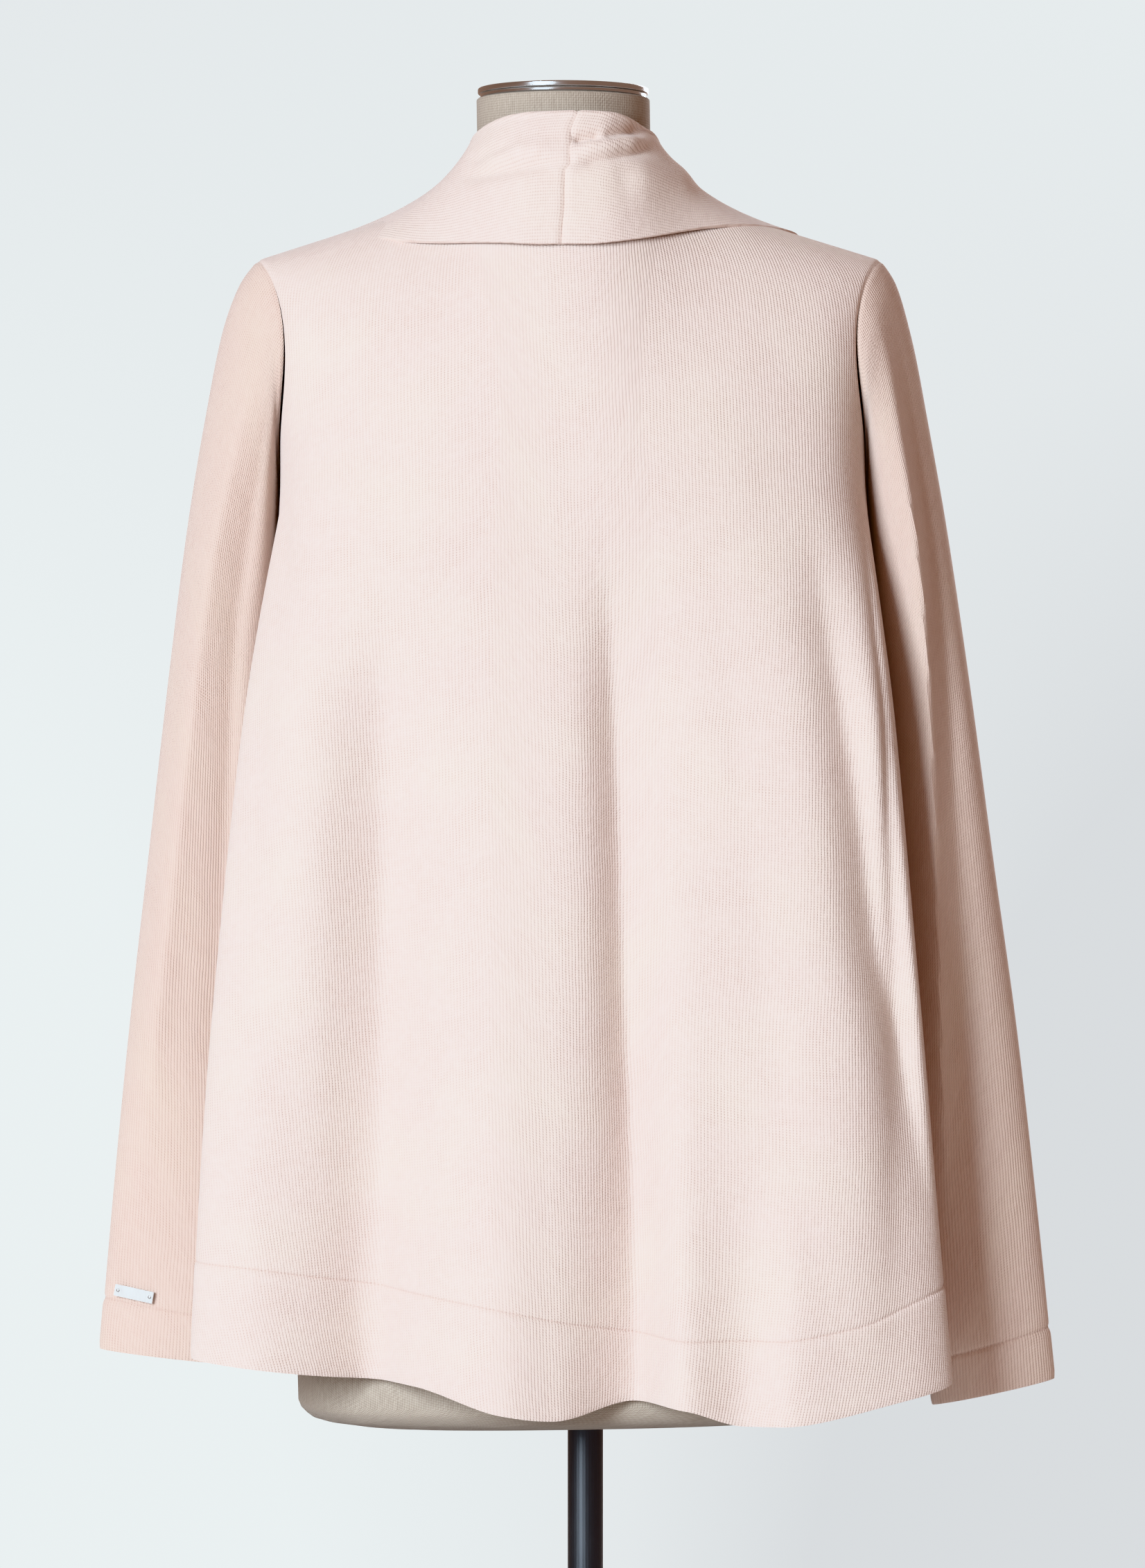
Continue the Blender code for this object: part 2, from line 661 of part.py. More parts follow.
def new_object(name, mesh, finish, collection):
    """A named object with its own material, linked to the collection."""
    colour, roughness, metallic = FINISHES[finish]
    material = bpy.data.materials.new(name)
    material.use_nodes = True
    shader = material.node_tree.nodes["Principled BSDF"]
    shader.inputs["Base Color"].default_value = colour
    shader.inputs["Roughness"].default_value = roughness
    shader.inputs["Metallic"].default_value = metallic
    mesh.materials.append(material)
    mesh.shade_smooth()
    made = bpy.data.objects.new(name, mesh)
    collection.objects.link(made)
    return made


def loft(name, outer, inner, ring, finish, collection):
    """A closed wall between two faces of one grid; ring joins its last column to its first."""
    bm = bmesh.new()
    rows, columns = outer.shape[:2]
    faces_of = []
    for grid in (outer, inner):
        lifted = grid + np.array([0, 0, FORM_FOOT])
        faces_of.append([[bm.verts.new(point) for point in row] for row in lifted])
    front, back = faces_of
    spans = columns if ring else columns - 1
    for row in range(rows - 1):
        for column in range(spans):
            ahead = (column + 1) % columns
            bm.faces.new((front[row][column], front[row + 1][column],
                          front[row + 1][ahead], front[row][ahead]))
            bm.faces.new((back[row][column], back[row][ahead],
                          back[row + 1][ahead], back[row + 1][column]))
    for column in range(spans):
        ahead = (column + 1) % columns
        for row in (0, rows - 1):
            bm.faces.new((front[row][column], front[row][ahead],
                          back[row][ahead], back[row][column]))
    if not ring:
        for row in range(rows - 1):
            for column in (0, columns - 1):
                bm.faces.new((front[row][column], front[row + 1][column],
                              back[row + 1][column], back[row][column]))
    bmesh.ops.recalc_face_normals(bm, faces=bm.faces)
    if bm.calc_volume(signed=True) < 0:
        bmesh.ops.reverse_faces(bm, faces=bm.faces)
    mesh = bpy.data.meshes.new(name)
    bm.to_mesh(mesh)
    bm.free()
    return new_object(name, mesh, finish, collection)


def form_torso(collection):
    """The dress form: one smooth closed solid through its sections."""
    bm = bmesh.new()
    heights = list(FORM.keys)
    rings = []
    for height in heights:
        ring = []
        for number in range(FORM_SIDES):
            angle = 360 * number / FORM_SIDES
            depth = FORM.at(height, "back" if cos(angle * pi / 180) > 0 else "front")
            x, y = rounded(angle, FORM.at(height, "half_width"), depth,
                           FORM.at(height, "squareness"))
            tilt = LEAN * x * (1 - height / heights[-1])
            ring.append(bm.verts.new((x + lean(height), y, FORM_FOOT + height - tilt)))
        rings.append(ring)
    for low, high in zip(rings, rings[1:]):
        for number in range(FORM_SIDES):
            ahead = (number + 1) % FORM_SIDES
            bm.faces.new((low[number], high[number], high[ahead], low[ahead]))
    bm.faces.new(rings[0])
    bm.faces.new(rings[-1])
    bmesh.ops.recalc_face_normals(bm, faces=bm.faces)
    mesh = bpy.data.meshes.new("form_torso")
    bm.to_mesh(mesh)
    bm.free()
    made = new_object("form_torso", mesh, "linen", collection)
    mesh.set_sharp_from_angle(angle=pi / 4)
    return made


def cylinder(name, radius, bottom, top, finish, collection, x=0.0, edge=SMALL_RIM):
    """An upright round piece with slightly rounded rims."""
    bpy.ops.mesh.primitive_cylinder_add(
        vertices=ROUND_SIDES, radius=radius, depth=top - bottom,
        location=(x, 0, (top + bottom) / 2))
    made = bpy.context.object
    mesh = made.data
    place = made.location.copy()
    bpy.data.objects.remove(made)
    made = new_object(name, mesh, finish, collection)
    made.location = place
    bevel = made.modifiers.new("rims", "BEVEL")
    bevel.width = edge
    bevel.segments = 1
    bevel.limit_method = "ANGLE"
    mesh.set_sharp_from_angle(angle=pi / 6)
    return made


def cuff_plate(collection):
    """The small bare metal plate that lies on the wearer's left cuff."""
    bpy.ops.mesh.primitive_cube_add(size=1)
    made = bpy.context.object
    mesh = made.data
    bpy.data.objects.remove(made)
    centre = sleeve(1, PLATE_TURN, PLATE_ALONG)
    across = unit(sleeve(1, PLATE_TURN - PLATE_STEP, PLATE_ALONG)
                  - sleeve(1, PLATE_TURN + PLATE_STEP, PLATE_ALONG))
    rise = unit(sleeve(1, PLATE_TURN, PLATE_ALONG - PLATE_STEP)
                - sleeve(1, PLATE_TURN, PLATE_ALONG + PLATE_STEP))
    outward = unit(np.cross(rise, across))
    rise = np.cross(across, outward)
    stand_off = PLATE_CLEAR + PLATE_THICK / 2
    for vertex in mesh.vertices:
        local = np.array(vertex.co)
        vertex.co = (centre + np.array([0, 0, FORM_FOOT])
                     + across * local[0] * PLATE_LENGTH
                     + rise * local[2] * PLATE_HEIGHT
                     + outward * (stand_off + local[1] * PLATE_THICK))
    made = new_object("cuff_plate", mesh, "steel", collection)
    mesh.set_sharp_from_angle(angle=pi / 6)
    return made


def cardigan(collection):
    """The knitted pieces: back, two fronts, two sleeves, and two collar halves."""
    loft("back", *back_grids(), False, "knit", collection)
    for side, name in ((1, "left"), (-1, "right")):
        loft("front_" + name, *front_grids(side), False, "knit", collection)
        loft("sleeve_" + name, *sleeve_grids(side), True, "knit", collection)
    half, upper, under = collar_grids()
    halves = {
        "collar_right": (np.s_[:half + 1], -1, -1),
        "collar_left": (np.s_[half:], 0, 1),
    }
    for name, (stations, centre_back, side) in halves.items():
        upper_half, under_half = upper[stations].copy(), under[stations].copy()
        for face in (upper_half, under_half):
            face[centre_back, :, 0] += side * SEAM_GAP / 2
        loft(name, upper_half, under_half, False, "knit", collection)
    cuff_plate(collection)


def stand(collection):
    """The form's neck cap, and the pole and round base below it."""
    neck_top = FORM_FOOT + FORM.keys[-1]
    cylinder("neck_cap", CAP_RADIUS, neck_top + SEAM_GAP, neck_top + SEAM_GAP + CAP_THICK,
             "steel", collection, x=lean(FORM.keys[-1]))
    pole_top = FORM_FOOT - SEAM_GAP - LEAN * POLE_RADIUS
    cylinder("pole", POLE_RADIUS, BASE_THICK + SEAM_GAP, pole_top, "gunmetal", collection)
    cylinder("base", BASE_RADIUS, 0.0, BASE_THICK, "gunmetal", collection, edge=BASE_RIM)


def main():
    for old in list(bpy.data.objects):
        bpy.data.objects.remove(old)
    collection = bpy.data.collections.new("cardigan on dress form")
    bpy.context.scene.collection.children.link(collection)
    cardigan(collection)
    form_torso(collection)
    stand(collection)


main()
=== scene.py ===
# %% [markdown]
# # A swing-back cardigan on a dress form
#
# This lesson dresses a plain CAD model of a blush-pink knitted cardigan. The garment
# hangs open on a limbless linen dress form, and the photograph shows its back. The CAD
# solids give every piece its place and its large folds. Here each panel is rebuilt as a
# thin cloth with finer folds, seams, hems and stitching, and gets a knitted material.
#
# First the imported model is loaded. It is a fixed frame: nothing in it is moved, and a
# new piece either replaces one of its nodes or sits beside them.

# %% Load the frame
from math import cos, pi, radians, sin

import bpy
import numpy as np
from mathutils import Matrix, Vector


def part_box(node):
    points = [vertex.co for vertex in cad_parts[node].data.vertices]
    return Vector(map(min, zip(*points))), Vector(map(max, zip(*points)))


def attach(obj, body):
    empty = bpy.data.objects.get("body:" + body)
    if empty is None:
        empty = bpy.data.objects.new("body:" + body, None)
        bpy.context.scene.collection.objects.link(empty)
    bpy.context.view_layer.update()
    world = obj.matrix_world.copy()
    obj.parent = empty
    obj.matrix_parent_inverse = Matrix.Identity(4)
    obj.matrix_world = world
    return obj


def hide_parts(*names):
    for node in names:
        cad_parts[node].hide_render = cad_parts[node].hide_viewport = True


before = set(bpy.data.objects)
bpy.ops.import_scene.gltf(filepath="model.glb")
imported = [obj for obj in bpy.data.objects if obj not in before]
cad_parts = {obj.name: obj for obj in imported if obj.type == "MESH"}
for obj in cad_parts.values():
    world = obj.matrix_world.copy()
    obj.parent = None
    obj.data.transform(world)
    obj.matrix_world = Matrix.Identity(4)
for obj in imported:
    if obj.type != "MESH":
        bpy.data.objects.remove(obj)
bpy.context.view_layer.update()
bpy.ops.object.select_all(action="DESELECT")
print("nodes in the frame:", ", ".join(sorted(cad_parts)))

# %% [markdown]
# ## Curves through a few measured rows
#
# A garment's outline changes smoothly, so a few measured rows are enough. A table keeps
# named columns and reads between its rows along a cubic that never overshoots. All
# heights are measured up from the underside of the dress form, which stands 0.32 m above
# the floor. The form leans a little to the wearer's left, so places shift with height.

# %% Tables of sections
FORM_FOOT = 0.320
CHEST = 0.555
LEAN = 0.0169


def hermite(start, end, leave, arrive, part):
    """Cubic from start to end with the given tangents, at a part of the way."""
    square = part * part
    cube = square * part
    return (start * (2 * cube - 3 * square + 1) + end * (3 * square - 2 * cube)
            + leave * (cube - 2 * square + part) + arrive * (cube - square))


def smooth(part):
    """Ease from 0 to 1, flat at both ends."""
    part = np.clip(part, 0.0, 1.0)
    return part * part * (3 - 2 * part)


def unit(vectors):
    """Vectors of length 1 along the last axis."""
    lengths = np.linalg.norm(vectors, axis=-1, keepdims=True)
    return vectors / np.maximum(lengths, 1e-12)


class Table:
    """Rows of named columns, read between the rows along a smooth curve."""

    def __init__(self, columns, rows):
        ordered = np.array(sorted(rows), dtype=float)
        self.keys = ordered[:, 0]
        self.values = dict(zip(columns.split(), ordered.T))
        self.slopes = {name: self.find_slopes(values) for name, values in self.values.items()}

    def find_slopes(self, values):
        rises = np.diff(values) / np.diff(self.keys)
        slopes = np.zeros(len(values))
        slopes[0], slopes[-1] = rises[0], rises[-1]
        before, after = rises[:-1], rises[1:]
        same_way = before * after > 0
        mean = 2 * before * after / np.where(same_way, before + after, 1.0)
        slopes[1:-1] = np.where(same_way, mean, 0.0)
        return slopes

    def at(self, key, name):
        """The named column at one key or many; past the ends it keeps the end value."""
        key = np.clip(key, self.keys[0], self.keys[-1])
        row = np.searchsorted(self.keys, key, side="right") - 1
        row = np.clip(row, 0, len(self.keys) - 2)
        step = self.keys[row + 1] - self.keys[row]
        values, slopes = self.values[name], self.slopes[name]
        return hermite(values[row], values[row + 1], slopes[row] * step,
                       slopes[row + 1] * step, (key - self.keys[row]) / step)


BODY = Table("height half_width back front squareness", [
    (0.555, 0.177, 0.109, 0.127, 3.5),
    (0.480, 0.181, 0.116, 0.135, 4.6),
    (0.400, 0.184, 0.122, 0.133, 7.0),
    (0.300, 0.186, 0.127, 0.130, 7.5),
    (0.200, 0.188, 0.130, 0.129, 6.5),
    (0.000, 0.190, 0.132, 0.129, 4.5),
])
print("body sections:", len(BODY.keys), "rows, chest at", CHEST, "m")

# %% [markdown]
# ## The hem's folds
#
# A swing back has more cloth at the hem than at the chest, and the spare cloth falls in
# soft vertical folds. Each row is the crest or trough of one fold: its angle round the
# body from the centre back, its place at the hem, the height where it dies out, how much
# of it is left half-way, and the height of the hem line there. The photograph gives the
# back rows. The front is hidden, so its folds are shallow ones of the same kind.

# %% Hem line
HEM = Table("angle x y start middle hem", [
    (-157.5, -0.0400, -0.126, 0.34, 0.35, 0.0470),
    (-137.0, -0.0960, -0.140, 0.42, 0.40, 0.0450),
    (-120.0, -0.1460, -0.100, 0.36, 0.35, 0.0470),
    (-104.0, -0.1820, -0.054, 0.42, 0.50, 0.0440),
    (-90.0, -0.1900, 0.004, 0.50, 0.50, 0.0400),
    (-82.0, -0.1980, 0.050, 0.54, 0.50, 0.0340),
    (-73.0, -0.2165, 0.100, 0.55, 0.46, 0.0290),
    (-60.0, -0.1760, 0.132, 0.34, 0.36, 0.0180),
    (-46.0, -0.1210, 0.148, 0.34, 0.30, 0.0075),
    (-37.0, -0.0940, 0.135, 0.32, 0.26, 0.0065),
    (-24.0, -0.0580, 0.150, 0.43, 0.30, 0.0165),
    (-11.0, -0.0280, 0.113, 0.44, 0.28, 0.0195),
    (8.0, 0.0180, 0.140, 0.43, 0.30, 0.0100),
    (21.0, 0.0500, 0.151, 0.43, 0.30, 0.0140),
    (39.0, 0.1020, 0.138, 0.42, 0.30, 0.0290),
    (50.0, 0.1350, 0.112, 0.43, 0.28, 0.0315),
    (64.0, 0.1960, 0.126, 0.50, 0.50, 0.0390),
    (74.0, 0.2330, 0.102, 0.55, 0.62, 0.0440),
    (82.0, 0.2080, 0.052, 0.54, 0.50, 0.0450),
    (90.0, 0.1960, 0.004, 0.50, 0.50, 0.0460),
    (104.0, 0.1860, -0.054, 0.42, 0.50, 0.0470),
    (120.0, 0.1500, -0.098, 0.36, 0.35, 0.0490),
    (137.0, 0.1000, -0.140, 0.42, 0.40, 0.0470),
    (157.5, 0.0440, -0.126, 0.34, 0.35, 0.0490),
])
print("folds round the hem:", len(HEM.keys))

# %% [markdown]
# ## Narrow folds down the back
#
# Besides the wide folds of its hem, the back has four narrow troughs and one ridge. A
# sculpting brush could press them in, but a table keeps them where the photograph has
# them. Each fold has a width on the wearer's left, a width on the right, and a course:
# its place and its depth at each height. A negative depth is the ridge.

# %% Narrow folds of the back
FOLD_SHARPNESS = 1.5
FOLD_EDGE_FADE = 12.0
BACK_FOLDS = [
    (0.029, 0.034, Table("height x depth", [
        (0.600, 0.118, 0.000), (0.530, 0.118, 0.000), (0.420, 0.120, 0.017),
        (0.300, 0.119, 0.028), (0.170, 0.120, 0.031), (0.040, 0.120, 0.026)])),
    (0.0145, 0.038, Table("height x depth", [
        (0.600, -0.012, 0.000), (0.560, -0.012, 0.000), (0.480, -0.015, 0.011),
        (0.410, -0.018, 0.019), (0.250, -0.024, 0.020), (0.150, -0.029, 0.014),
        (0.080, -0.032, 0.008), (0.020, -0.034, 0.005)])),
    (0.022, 0.030, Table("height x depth", [
        (0.600, -0.073, 0.000), (0.550, -0.073, 0.000), (0.420, -0.088, 0.003),
        (0.300, -0.100, 0.003), (0.180, -0.118, 0.003), (0.040, -0.150, 0.002)])),
    (0.015, 0.018, Table("height x depth", [
        (0.600, -0.130, 0.000), (0.555, -0.132, 0.000), (0.478, -0.143, 0.009),
        (0.416, -0.154, 0.014), (0.355, -0.163, 0.017), (0.294, -0.170, 0.018),
        (0.232, -0.184, 0.014), (0.172, -0.196, 0.010), (0.117, -0.206, 0.005),
        (0.040, -0.212, 0.002)])),
    (0.016, 0.012, Table("height x depth", [
        (0.600, -0.170, 0.000), (0.550, -0.171, 0.000), (0.500, -0.174, -0.010),
        (0.420, -0.181, -0.018), (0.300, -0.192, -0.018), (0.200, -0.200, -0.012),
        (0.120, -0.206, -0.004), (0.040, -0.210, 0.000)])),
]
print("narrow folds down the back:", len(BACK_FOLDS))

# %% [markdown]
# ## One surface for the whole body
#
# The back and both fronts are cut from one imagined surface. Its place is named by an
# angle round the body and by how far down it is: 0 on the shoulder line, 1 at the chest
# and 2 at the hem. Its upper edge comes first: an arc round the neck, then a line out
# along the shoulder seam that drops towards the tip.

# %% Upper edge of the panels
NECK_ANGLE = 22.5
NECK_TURN = 1.15
NECK_HALF_WIDTH = 0.068
NECK_BACK = 0.062
NECK_BACK_HEIGHT = 0.732
NECK_SIDE_HEIGHT = 0.738
TIP_HALF_WIDTH = 0.189
TIP_HEIGHT = 0.700
TIP_EASE = 1.6
CLOTH_SHIFT = -0.002


def stack(x, y, z):
    """Points from their three coordinates."""
    return np.stack(np.broadcast_arrays(x, y, z), axis=-1).astype(float)


def top_edge(angle):
    """Round the neck, then out along the shoulder to its tip."""
    side = np.where(angle >= 0, 1.0, -1.0)
    away = np.minimum(np.abs(angle), 180 - np.abs(angle))
    near = np.minimum(away, NECK_ANGLE)
    turn = NECK_TURN * near / NECK_ANGLE
    rise = (near / NECK_ANGLE) ** 2
    out = 1 - (1 - (np.maximum(away, NECK_ANGLE) - NECK_ANGLE) / (90 - NECK_ANGLE)) ** TIP_EASE
    on_neck = away < NECK_ANGLE
    height = np.where(on_neck,
                      NECK_BACK_HEIGHT + (NECK_SIDE_HEIGHT - NECK_BACK_HEIGHT) * rise,
                      NECK_SIDE_HEIGHT + (TIP_HEIGHT - NECK_SIDE_HEIGHT) * out)
    across = np.where(on_neck, NECK_HALF_WIDTH * np.sin(turn) / sin(NECK_TURN),
                      NECK_HALF_WIDTH + (TIP_HALF_WIDTH - NECK_HALF_WIDTH) * out)
    behind = NECK_BACK * (np.cos(turn) - cos(NECK_TURN)) / (1 - cos(NECK_TURN))
    facing = np.where(np.abs(angle) < 90, 1.0, -1.0)
    x = LEAN * height + CLOTH_SHIFT * out + side * across
    return stack(x, np.where(on_neck, facing * behind, 0.0), height)


for place, angle in (("centre back", 0.0), ("neck side", NECK_ANGLE), ("shoulder tip", 90.0)):
    print(place, top_edge(angle).round(3))

# %% [markdown]
# ## The outer face of the body
#
# Above the chest the cloth rounds over the shoulder from the neck line and the shoulder
# seam. Below it, a squarish section grows its folds towards the hem. The two parts meet
# at the chest with the same slope, so no line shows there.

# %% Body surface
NECK_ROUND = 0.110
SHOULDER_ROUND = 0.235
TIP_ROUND = 0.200
NECK_FALL = 0.050
CHEST_FALL = 0.170
DOWN_STEP = 0.004


def rounded(angle, half_width, depth, squareness):
    """A point of a rounded section, x across and y towards the back."""
    across, back = np.sin(np.radians(angle)), np.cos(np.radians(angle))
    reach = ((np.abs(across) / half_width) ** squareness
             + (np.abs(back) / depth) ** squareness) ** (-1 / squareness)
    return reach * across, reach * back


def plain_section(angle, height):
    depth = np.where(np.abs(angle) < 90, BODY.at(height, "back"), BODY.at(height, "front"))
    x, y = rounded(angle, BODY.at(height, "half_width"), depth, BODY.at(height, "squareness"))
    return x + LEAN * height + CLOTH_SHIFT, y


def back_folds(angle, x, height):
    """How far the narrow folds take the back inwards at a place."""
    depth = 0.0
    for left_width, right_width, course in BACK_FOLDS:
        aside = x - course.at(height, "x")
        width = np.where(aside > 0, left_width, right_width)
        depth = depth + course.at(height, "depth") * np.exp(
            -np.abs(aside / width) ** FOLD_SHARPNESS)
    return depth * smooth((90 - np.abs(angle)) / FOLD_EDGE_FADE)


def skirt(angle, height):
    """The body below the chest: a plain section, and folds that grow to the hem."""
    x, y = plain_section(angle, height)
    start, hem = HEM.at(angle, "start"), HEM.at(angle, "hem")
    low_x, low_y = plain_section(angle, hem)
    part = np.clip((start - height) / (start - hem), 0.0, 1.0)
    grown = part + 4 * (HEM.at(angle, "middle") - 0.5) * part * (1 - part)
    x = x + (HEM.at(angle, "x") - low_x) * grown
    y = y + (HEM.at(angle, "y") - low_y) * grown
    return stack(x, y - back_folds(angle, x, height), height)


def yoke(angle, down):
    """The body above the chest, rounding over the shoulder from the top edge."""
    away = np.minimum(np.abs(angle), 180 - np.abs(angle))
    facing = np.where(np.abs(angle) < 90, 1.0, -1.0)
    on_neck = away < NECK_ANGLE
    near = np.minimum(away / NECK_ANGLE, 1.0)
    far = (np.maximum(away, NECK_ANGLE) - NECK_ANGLE) / (90 - NECK_ANGLE)
    rounding = np.where(on_neck, NECK_ROUND + (SHOULDER_ROUND - NECK_ROUND) * smooth(near),
                        SHOULDER_ROUND + (TIP_ROUND - SHOULDER_ROUND) * far)
    fall = np.where(on_neck, NECK_FALL * np.cos(pi / 2 * near), 0.0)
    chest = skirt(angle, CHEST)
    below = (skirt(angle, CHEST - DOWN_STEP) - chest) / DOWN_STEP
    leave = stack(0.0, facing * rounding, -fall)
    return hermite(top_edge(angle), chest, leave, below * CHEST_FALL,
                   np.asarray(down, dtype=float)[..., None])


def body(angle, down):
    """The cardigan's outer face, with down 0 at the shoulder, 1 at the chest, 2 at the hem."""
    angle, down = np.broadcast_arrays(np.asarray(angle, float), np.asarray(down, float))
    height = CHEST + (HEM.at(angle, "hem") - CHEST) * (down - 1)
    above = yoke(angle, np.minimum(down, 1.0))
    return np.where((down <= 1)[..., None], above, skirt(angle, np.minimum(height, CHEST)))


print("centre back at the chest:", body(0.0, 1.0).round(3), "and at the hem:",
      body(0.0, 2.0).round(3))

# %% [markdown]
# ## From a grid to a piece of cloth
#
# Every panel starts as Blender's own grid primitive. Its vertices are then moved onto
# the body surface, as a sculptor would pull them, and its UV map is set to true lengths
# in metres: across the knitted columns, called wales, and along them. So the knit has
# one scale all over and follows the cloth. A Solidify modifier gives the wall, which is
# over half as thick again where the hem is turned up, and a small Bevel rounds the cut
# edges.

# %% Cloth maker
ORIGIN_SHIFT = np.array([0.0, 0.0, FORM_FOOT])
CLOTH_WALL = 0.0017
SINGLE_SHARE = 0.62
CUT_EDGE_ROUND = 0.0006


def grid_normals(points):
    """Outward directions of a grid whose rows run down and whose columns run across."""
    return unit(np.cross(np.gradient(points, axis=1), np.gradient(points, axis=0)))


def lengths(points, axis):
    """Distance travelled along one direction of a grid, from its first line."""
    steps = np.linalg.norm(np.diff(points, axis=axis), axis=-1)
    first = np.zeros_like(np.take(steps, [0], axis=axis))
    return np.concatenate([first, np.cumsum(steps, axis=axis)], axis=axis)


def apply_modifiers(piece):
    bpy.ops.object.select_all(action="DESELECT")
    bpy.context.view_layer.objects.active = piece
    piece.select_set(True)
    for modifier in list(piece.modifiers):
        bpy.ops.object.modifier_apply(modifier=modifier.name)
    piece.select_set(False)


def pull_grid(name, points, across, along):
    """Blender's grid primitive with its vertices pulled onto the given points."""
    rows, columns = points.shape[:2]
    bpy.ops.mesh.primitive_grid_add(x_subdivisions=columns - 1, y_subdivisions=rows - 1, size=1)
    piece = bpy.context.object
    piece.name = name
    piece.data.name = name
    mesh = piece.data
    mesh.vertices.foreach_set("co", (points + ORIGIN_SHIFT).reshape(-1))
    corner_of = np.zeros(len(mesh.loops), dtype=int)
    mesh.loops.foreach_get("vertex_index", corner_of)
    flat = np.stack([across, along], axis=-1).reshape(-1, 2)
    mesh.uv_layers[0].name = "cloth"
    mesh.uv_layers["cloth"].data.foreach_set("uv", flat[corner_of].reshape(-1))
    mesh.update()
    return piece


def add_values(piece, name, values):
    """A number at every vertex, for a material to read."""
    layer = piece.data.attributes.new(name, "FLOAT", "POINT")
    layer.data.foreach_set("value", np.asarray(values, dtype=np.float32).reshape(-1))


def weld(piece):
    """Join vertices that lie on each other, such as the two edges of a rolled grid."""
    bpy.ops.object.select_all(action="DESELECT")
    bpy.context.view_layer.objects.active = piece
    piece.select_set(True)
    bpy.ops.object.mode_set(mode="EDIT")
    bpy.ops.mesh.select_all(action="SELECT")
    bpy.ops.mesh.remove_doubles(threshold=0.00002)
    bpy.ops.mesh.select_all(action="DESELECT")
    bpy.ops.object.mode_set(mode="OBJECT")


def give_wall(piece, wall, thickness=None, offset=-1.0):
    """Solidify the cloth inwards and round its cut edges; thickness is a share a vertex."""
    solid = piece.modifiers.new("wall", "SOLIDIFY")
    solid.thickness = wall
    solid.offset = offset
    if thickness is not None:
        group = piece.vertex_groups.new(name="thickness")
        shares = np.asarray(thickness).reshape(-1)
        for share in np.unique(shares):
            members = np.flatnonzero(shares == share).tolist()
            group.add(members, float(share), "REPLACE")
        solid.vertex_group = "thickness"
    rounding = piece.modifiers.new("cut edges", "BEVEL")
    rounding.width = CUT_EDGE_ROUND
    rounding.segments = 2
    rounding.limit_method = "ANGLE"
    rounding.angle_limit = radians(60)
    apply_modifiers(piece)
    bpy.ops.object.select_all(action="DESELECT")
    piece.data.shade_smooth()
    print(piece.name, "has", len(piece.data.polygons), "faces")


# %% [markdown]
# ## Rows and columns of a panel
#
# Faces are 2 to 6 mm across. They are much narrower beside a seam and at the stitched
# line of the turned hem, where the cloth dips within a millimetre or two. The stitched
# line keeps a smooth sweep while the hem's edge below it waves, so it has a table of its
# own: the line's height by the angle round the body.

# %% Panel grid
STITCH_LINE = Table("angle height", [
    (-157.5, 0.1055), (-110.0, 0.1040), (-85.0, 0.0950), (-69.0, 0.0826), (-55.0, 0.0643),
    (-42.0, 0.0565), (-28.0, 0.0565), (-7.0, 0.0620), (27.0, 0.0780), (50.0, 0.0895),
    (66.0, 0.0987), (90.0, 0.1045), (157.5, 0.1075),
])
YOKE_ROWS = 44
SKIRT_ROWS = 92
YOKE_CROWDING = 1.3
LINE_ROWS = (0.0030, 0.0018, 0.0009, 0.0003, -0.0003, -0.0009, -0.0018, -0.0030, -0.0050)
HEM_SHARES = (0.07, 0.14, 0.21, 0.28, 0.35, 0.42, 0.49, 0.56, 0.63, 0.70, 0.77, 0.84,
              0.90, 0.95, 0.98, 1.0)
BACK_COLUMNS = 168
FRONT_COLUMNS = 64
NARROW_SHARES = (0.0, 0.004, 0.008, 0.0125, 0.018)
ARMHOLE_BACK_DEPTH = 17.0
ARMHOLE_FRONT_DEPTH = 20.0
FRONT_EDGE = 157.5


def panel_downs(angles_at):
    """Angles and ways down of a panel's vertices, and heights over stitched line and hem."""
    angles, downs = [], []
    for row in range(YOKE_ROWS + 1):
        down = (row / YOKE_ROWS) ** YOKE_CROWDING
        line = angles_at(down)
        angles.append(line)
        downs.append(np.full_like(line, down))
    line = angles_at(1.0)
    hem, stitched = HEM.at(line, "hem"), STITCH_LINE.at(line, "height")
    shares = np.arange(1, SKIRT_ROWS + 1) / SKIRT_ROWS
    heights = [CHEST + (stitched + LINE_ROWS[0] - CHEST) * share for share in shares]
    heights += [stitched + distance for distance in LINE_ROWS[1:]]
    low = stitched + LINE_ROWS[-1]
    heights += [low + (hem - low) * share for share in HEM_SHARES]
    for height in heights:
        angles.append(line)
        downs.append(1 + (CHEST - height) / (CHEST - hem))
    angles, downs = np.array(angles), np.array(downs)
    from_hem = (CHEST - HEM.at(angles, "hem")) * (2 - downs)
    from_line = from_hem + HEM.at(angles, "hem") - STITCH_LINE.at(angles, "height")
    return angles, downs, from_line, from_hem


def with_edges(count, left, right):
    """Shares from 0 to 1 in even steps, with narrow steps beside a seamed edge."""
    narrow = np.array(NARROW_SHARES)
    low = narrow if left else narrow[:1]
    high = 1 - (narrow if right else narrow[:1])[::-1]
    middle = np.linspace(low[-1], high[0], count)
    return np.concatenate([low[:-1], middle, high[1:]])


def armhole(turn):
    """The place on the body where the sleeve's seam passes, turn 0 at the shoulder's tip."""
    if turn <= 0.5:
        return 90 - ARMHOLE_BACK_DEPTH * sin(2 * pi * turn), 2 * turn
    return 90 - ARMHOLE_FRONT_DEPTH * sin(2 * pi * turn), 2 - 2 * turn


print("rows on a panel:", YOKE_ROWS + SKIRT_ROWS + len(LINE_ROWS) + len(HEM_SHARES))

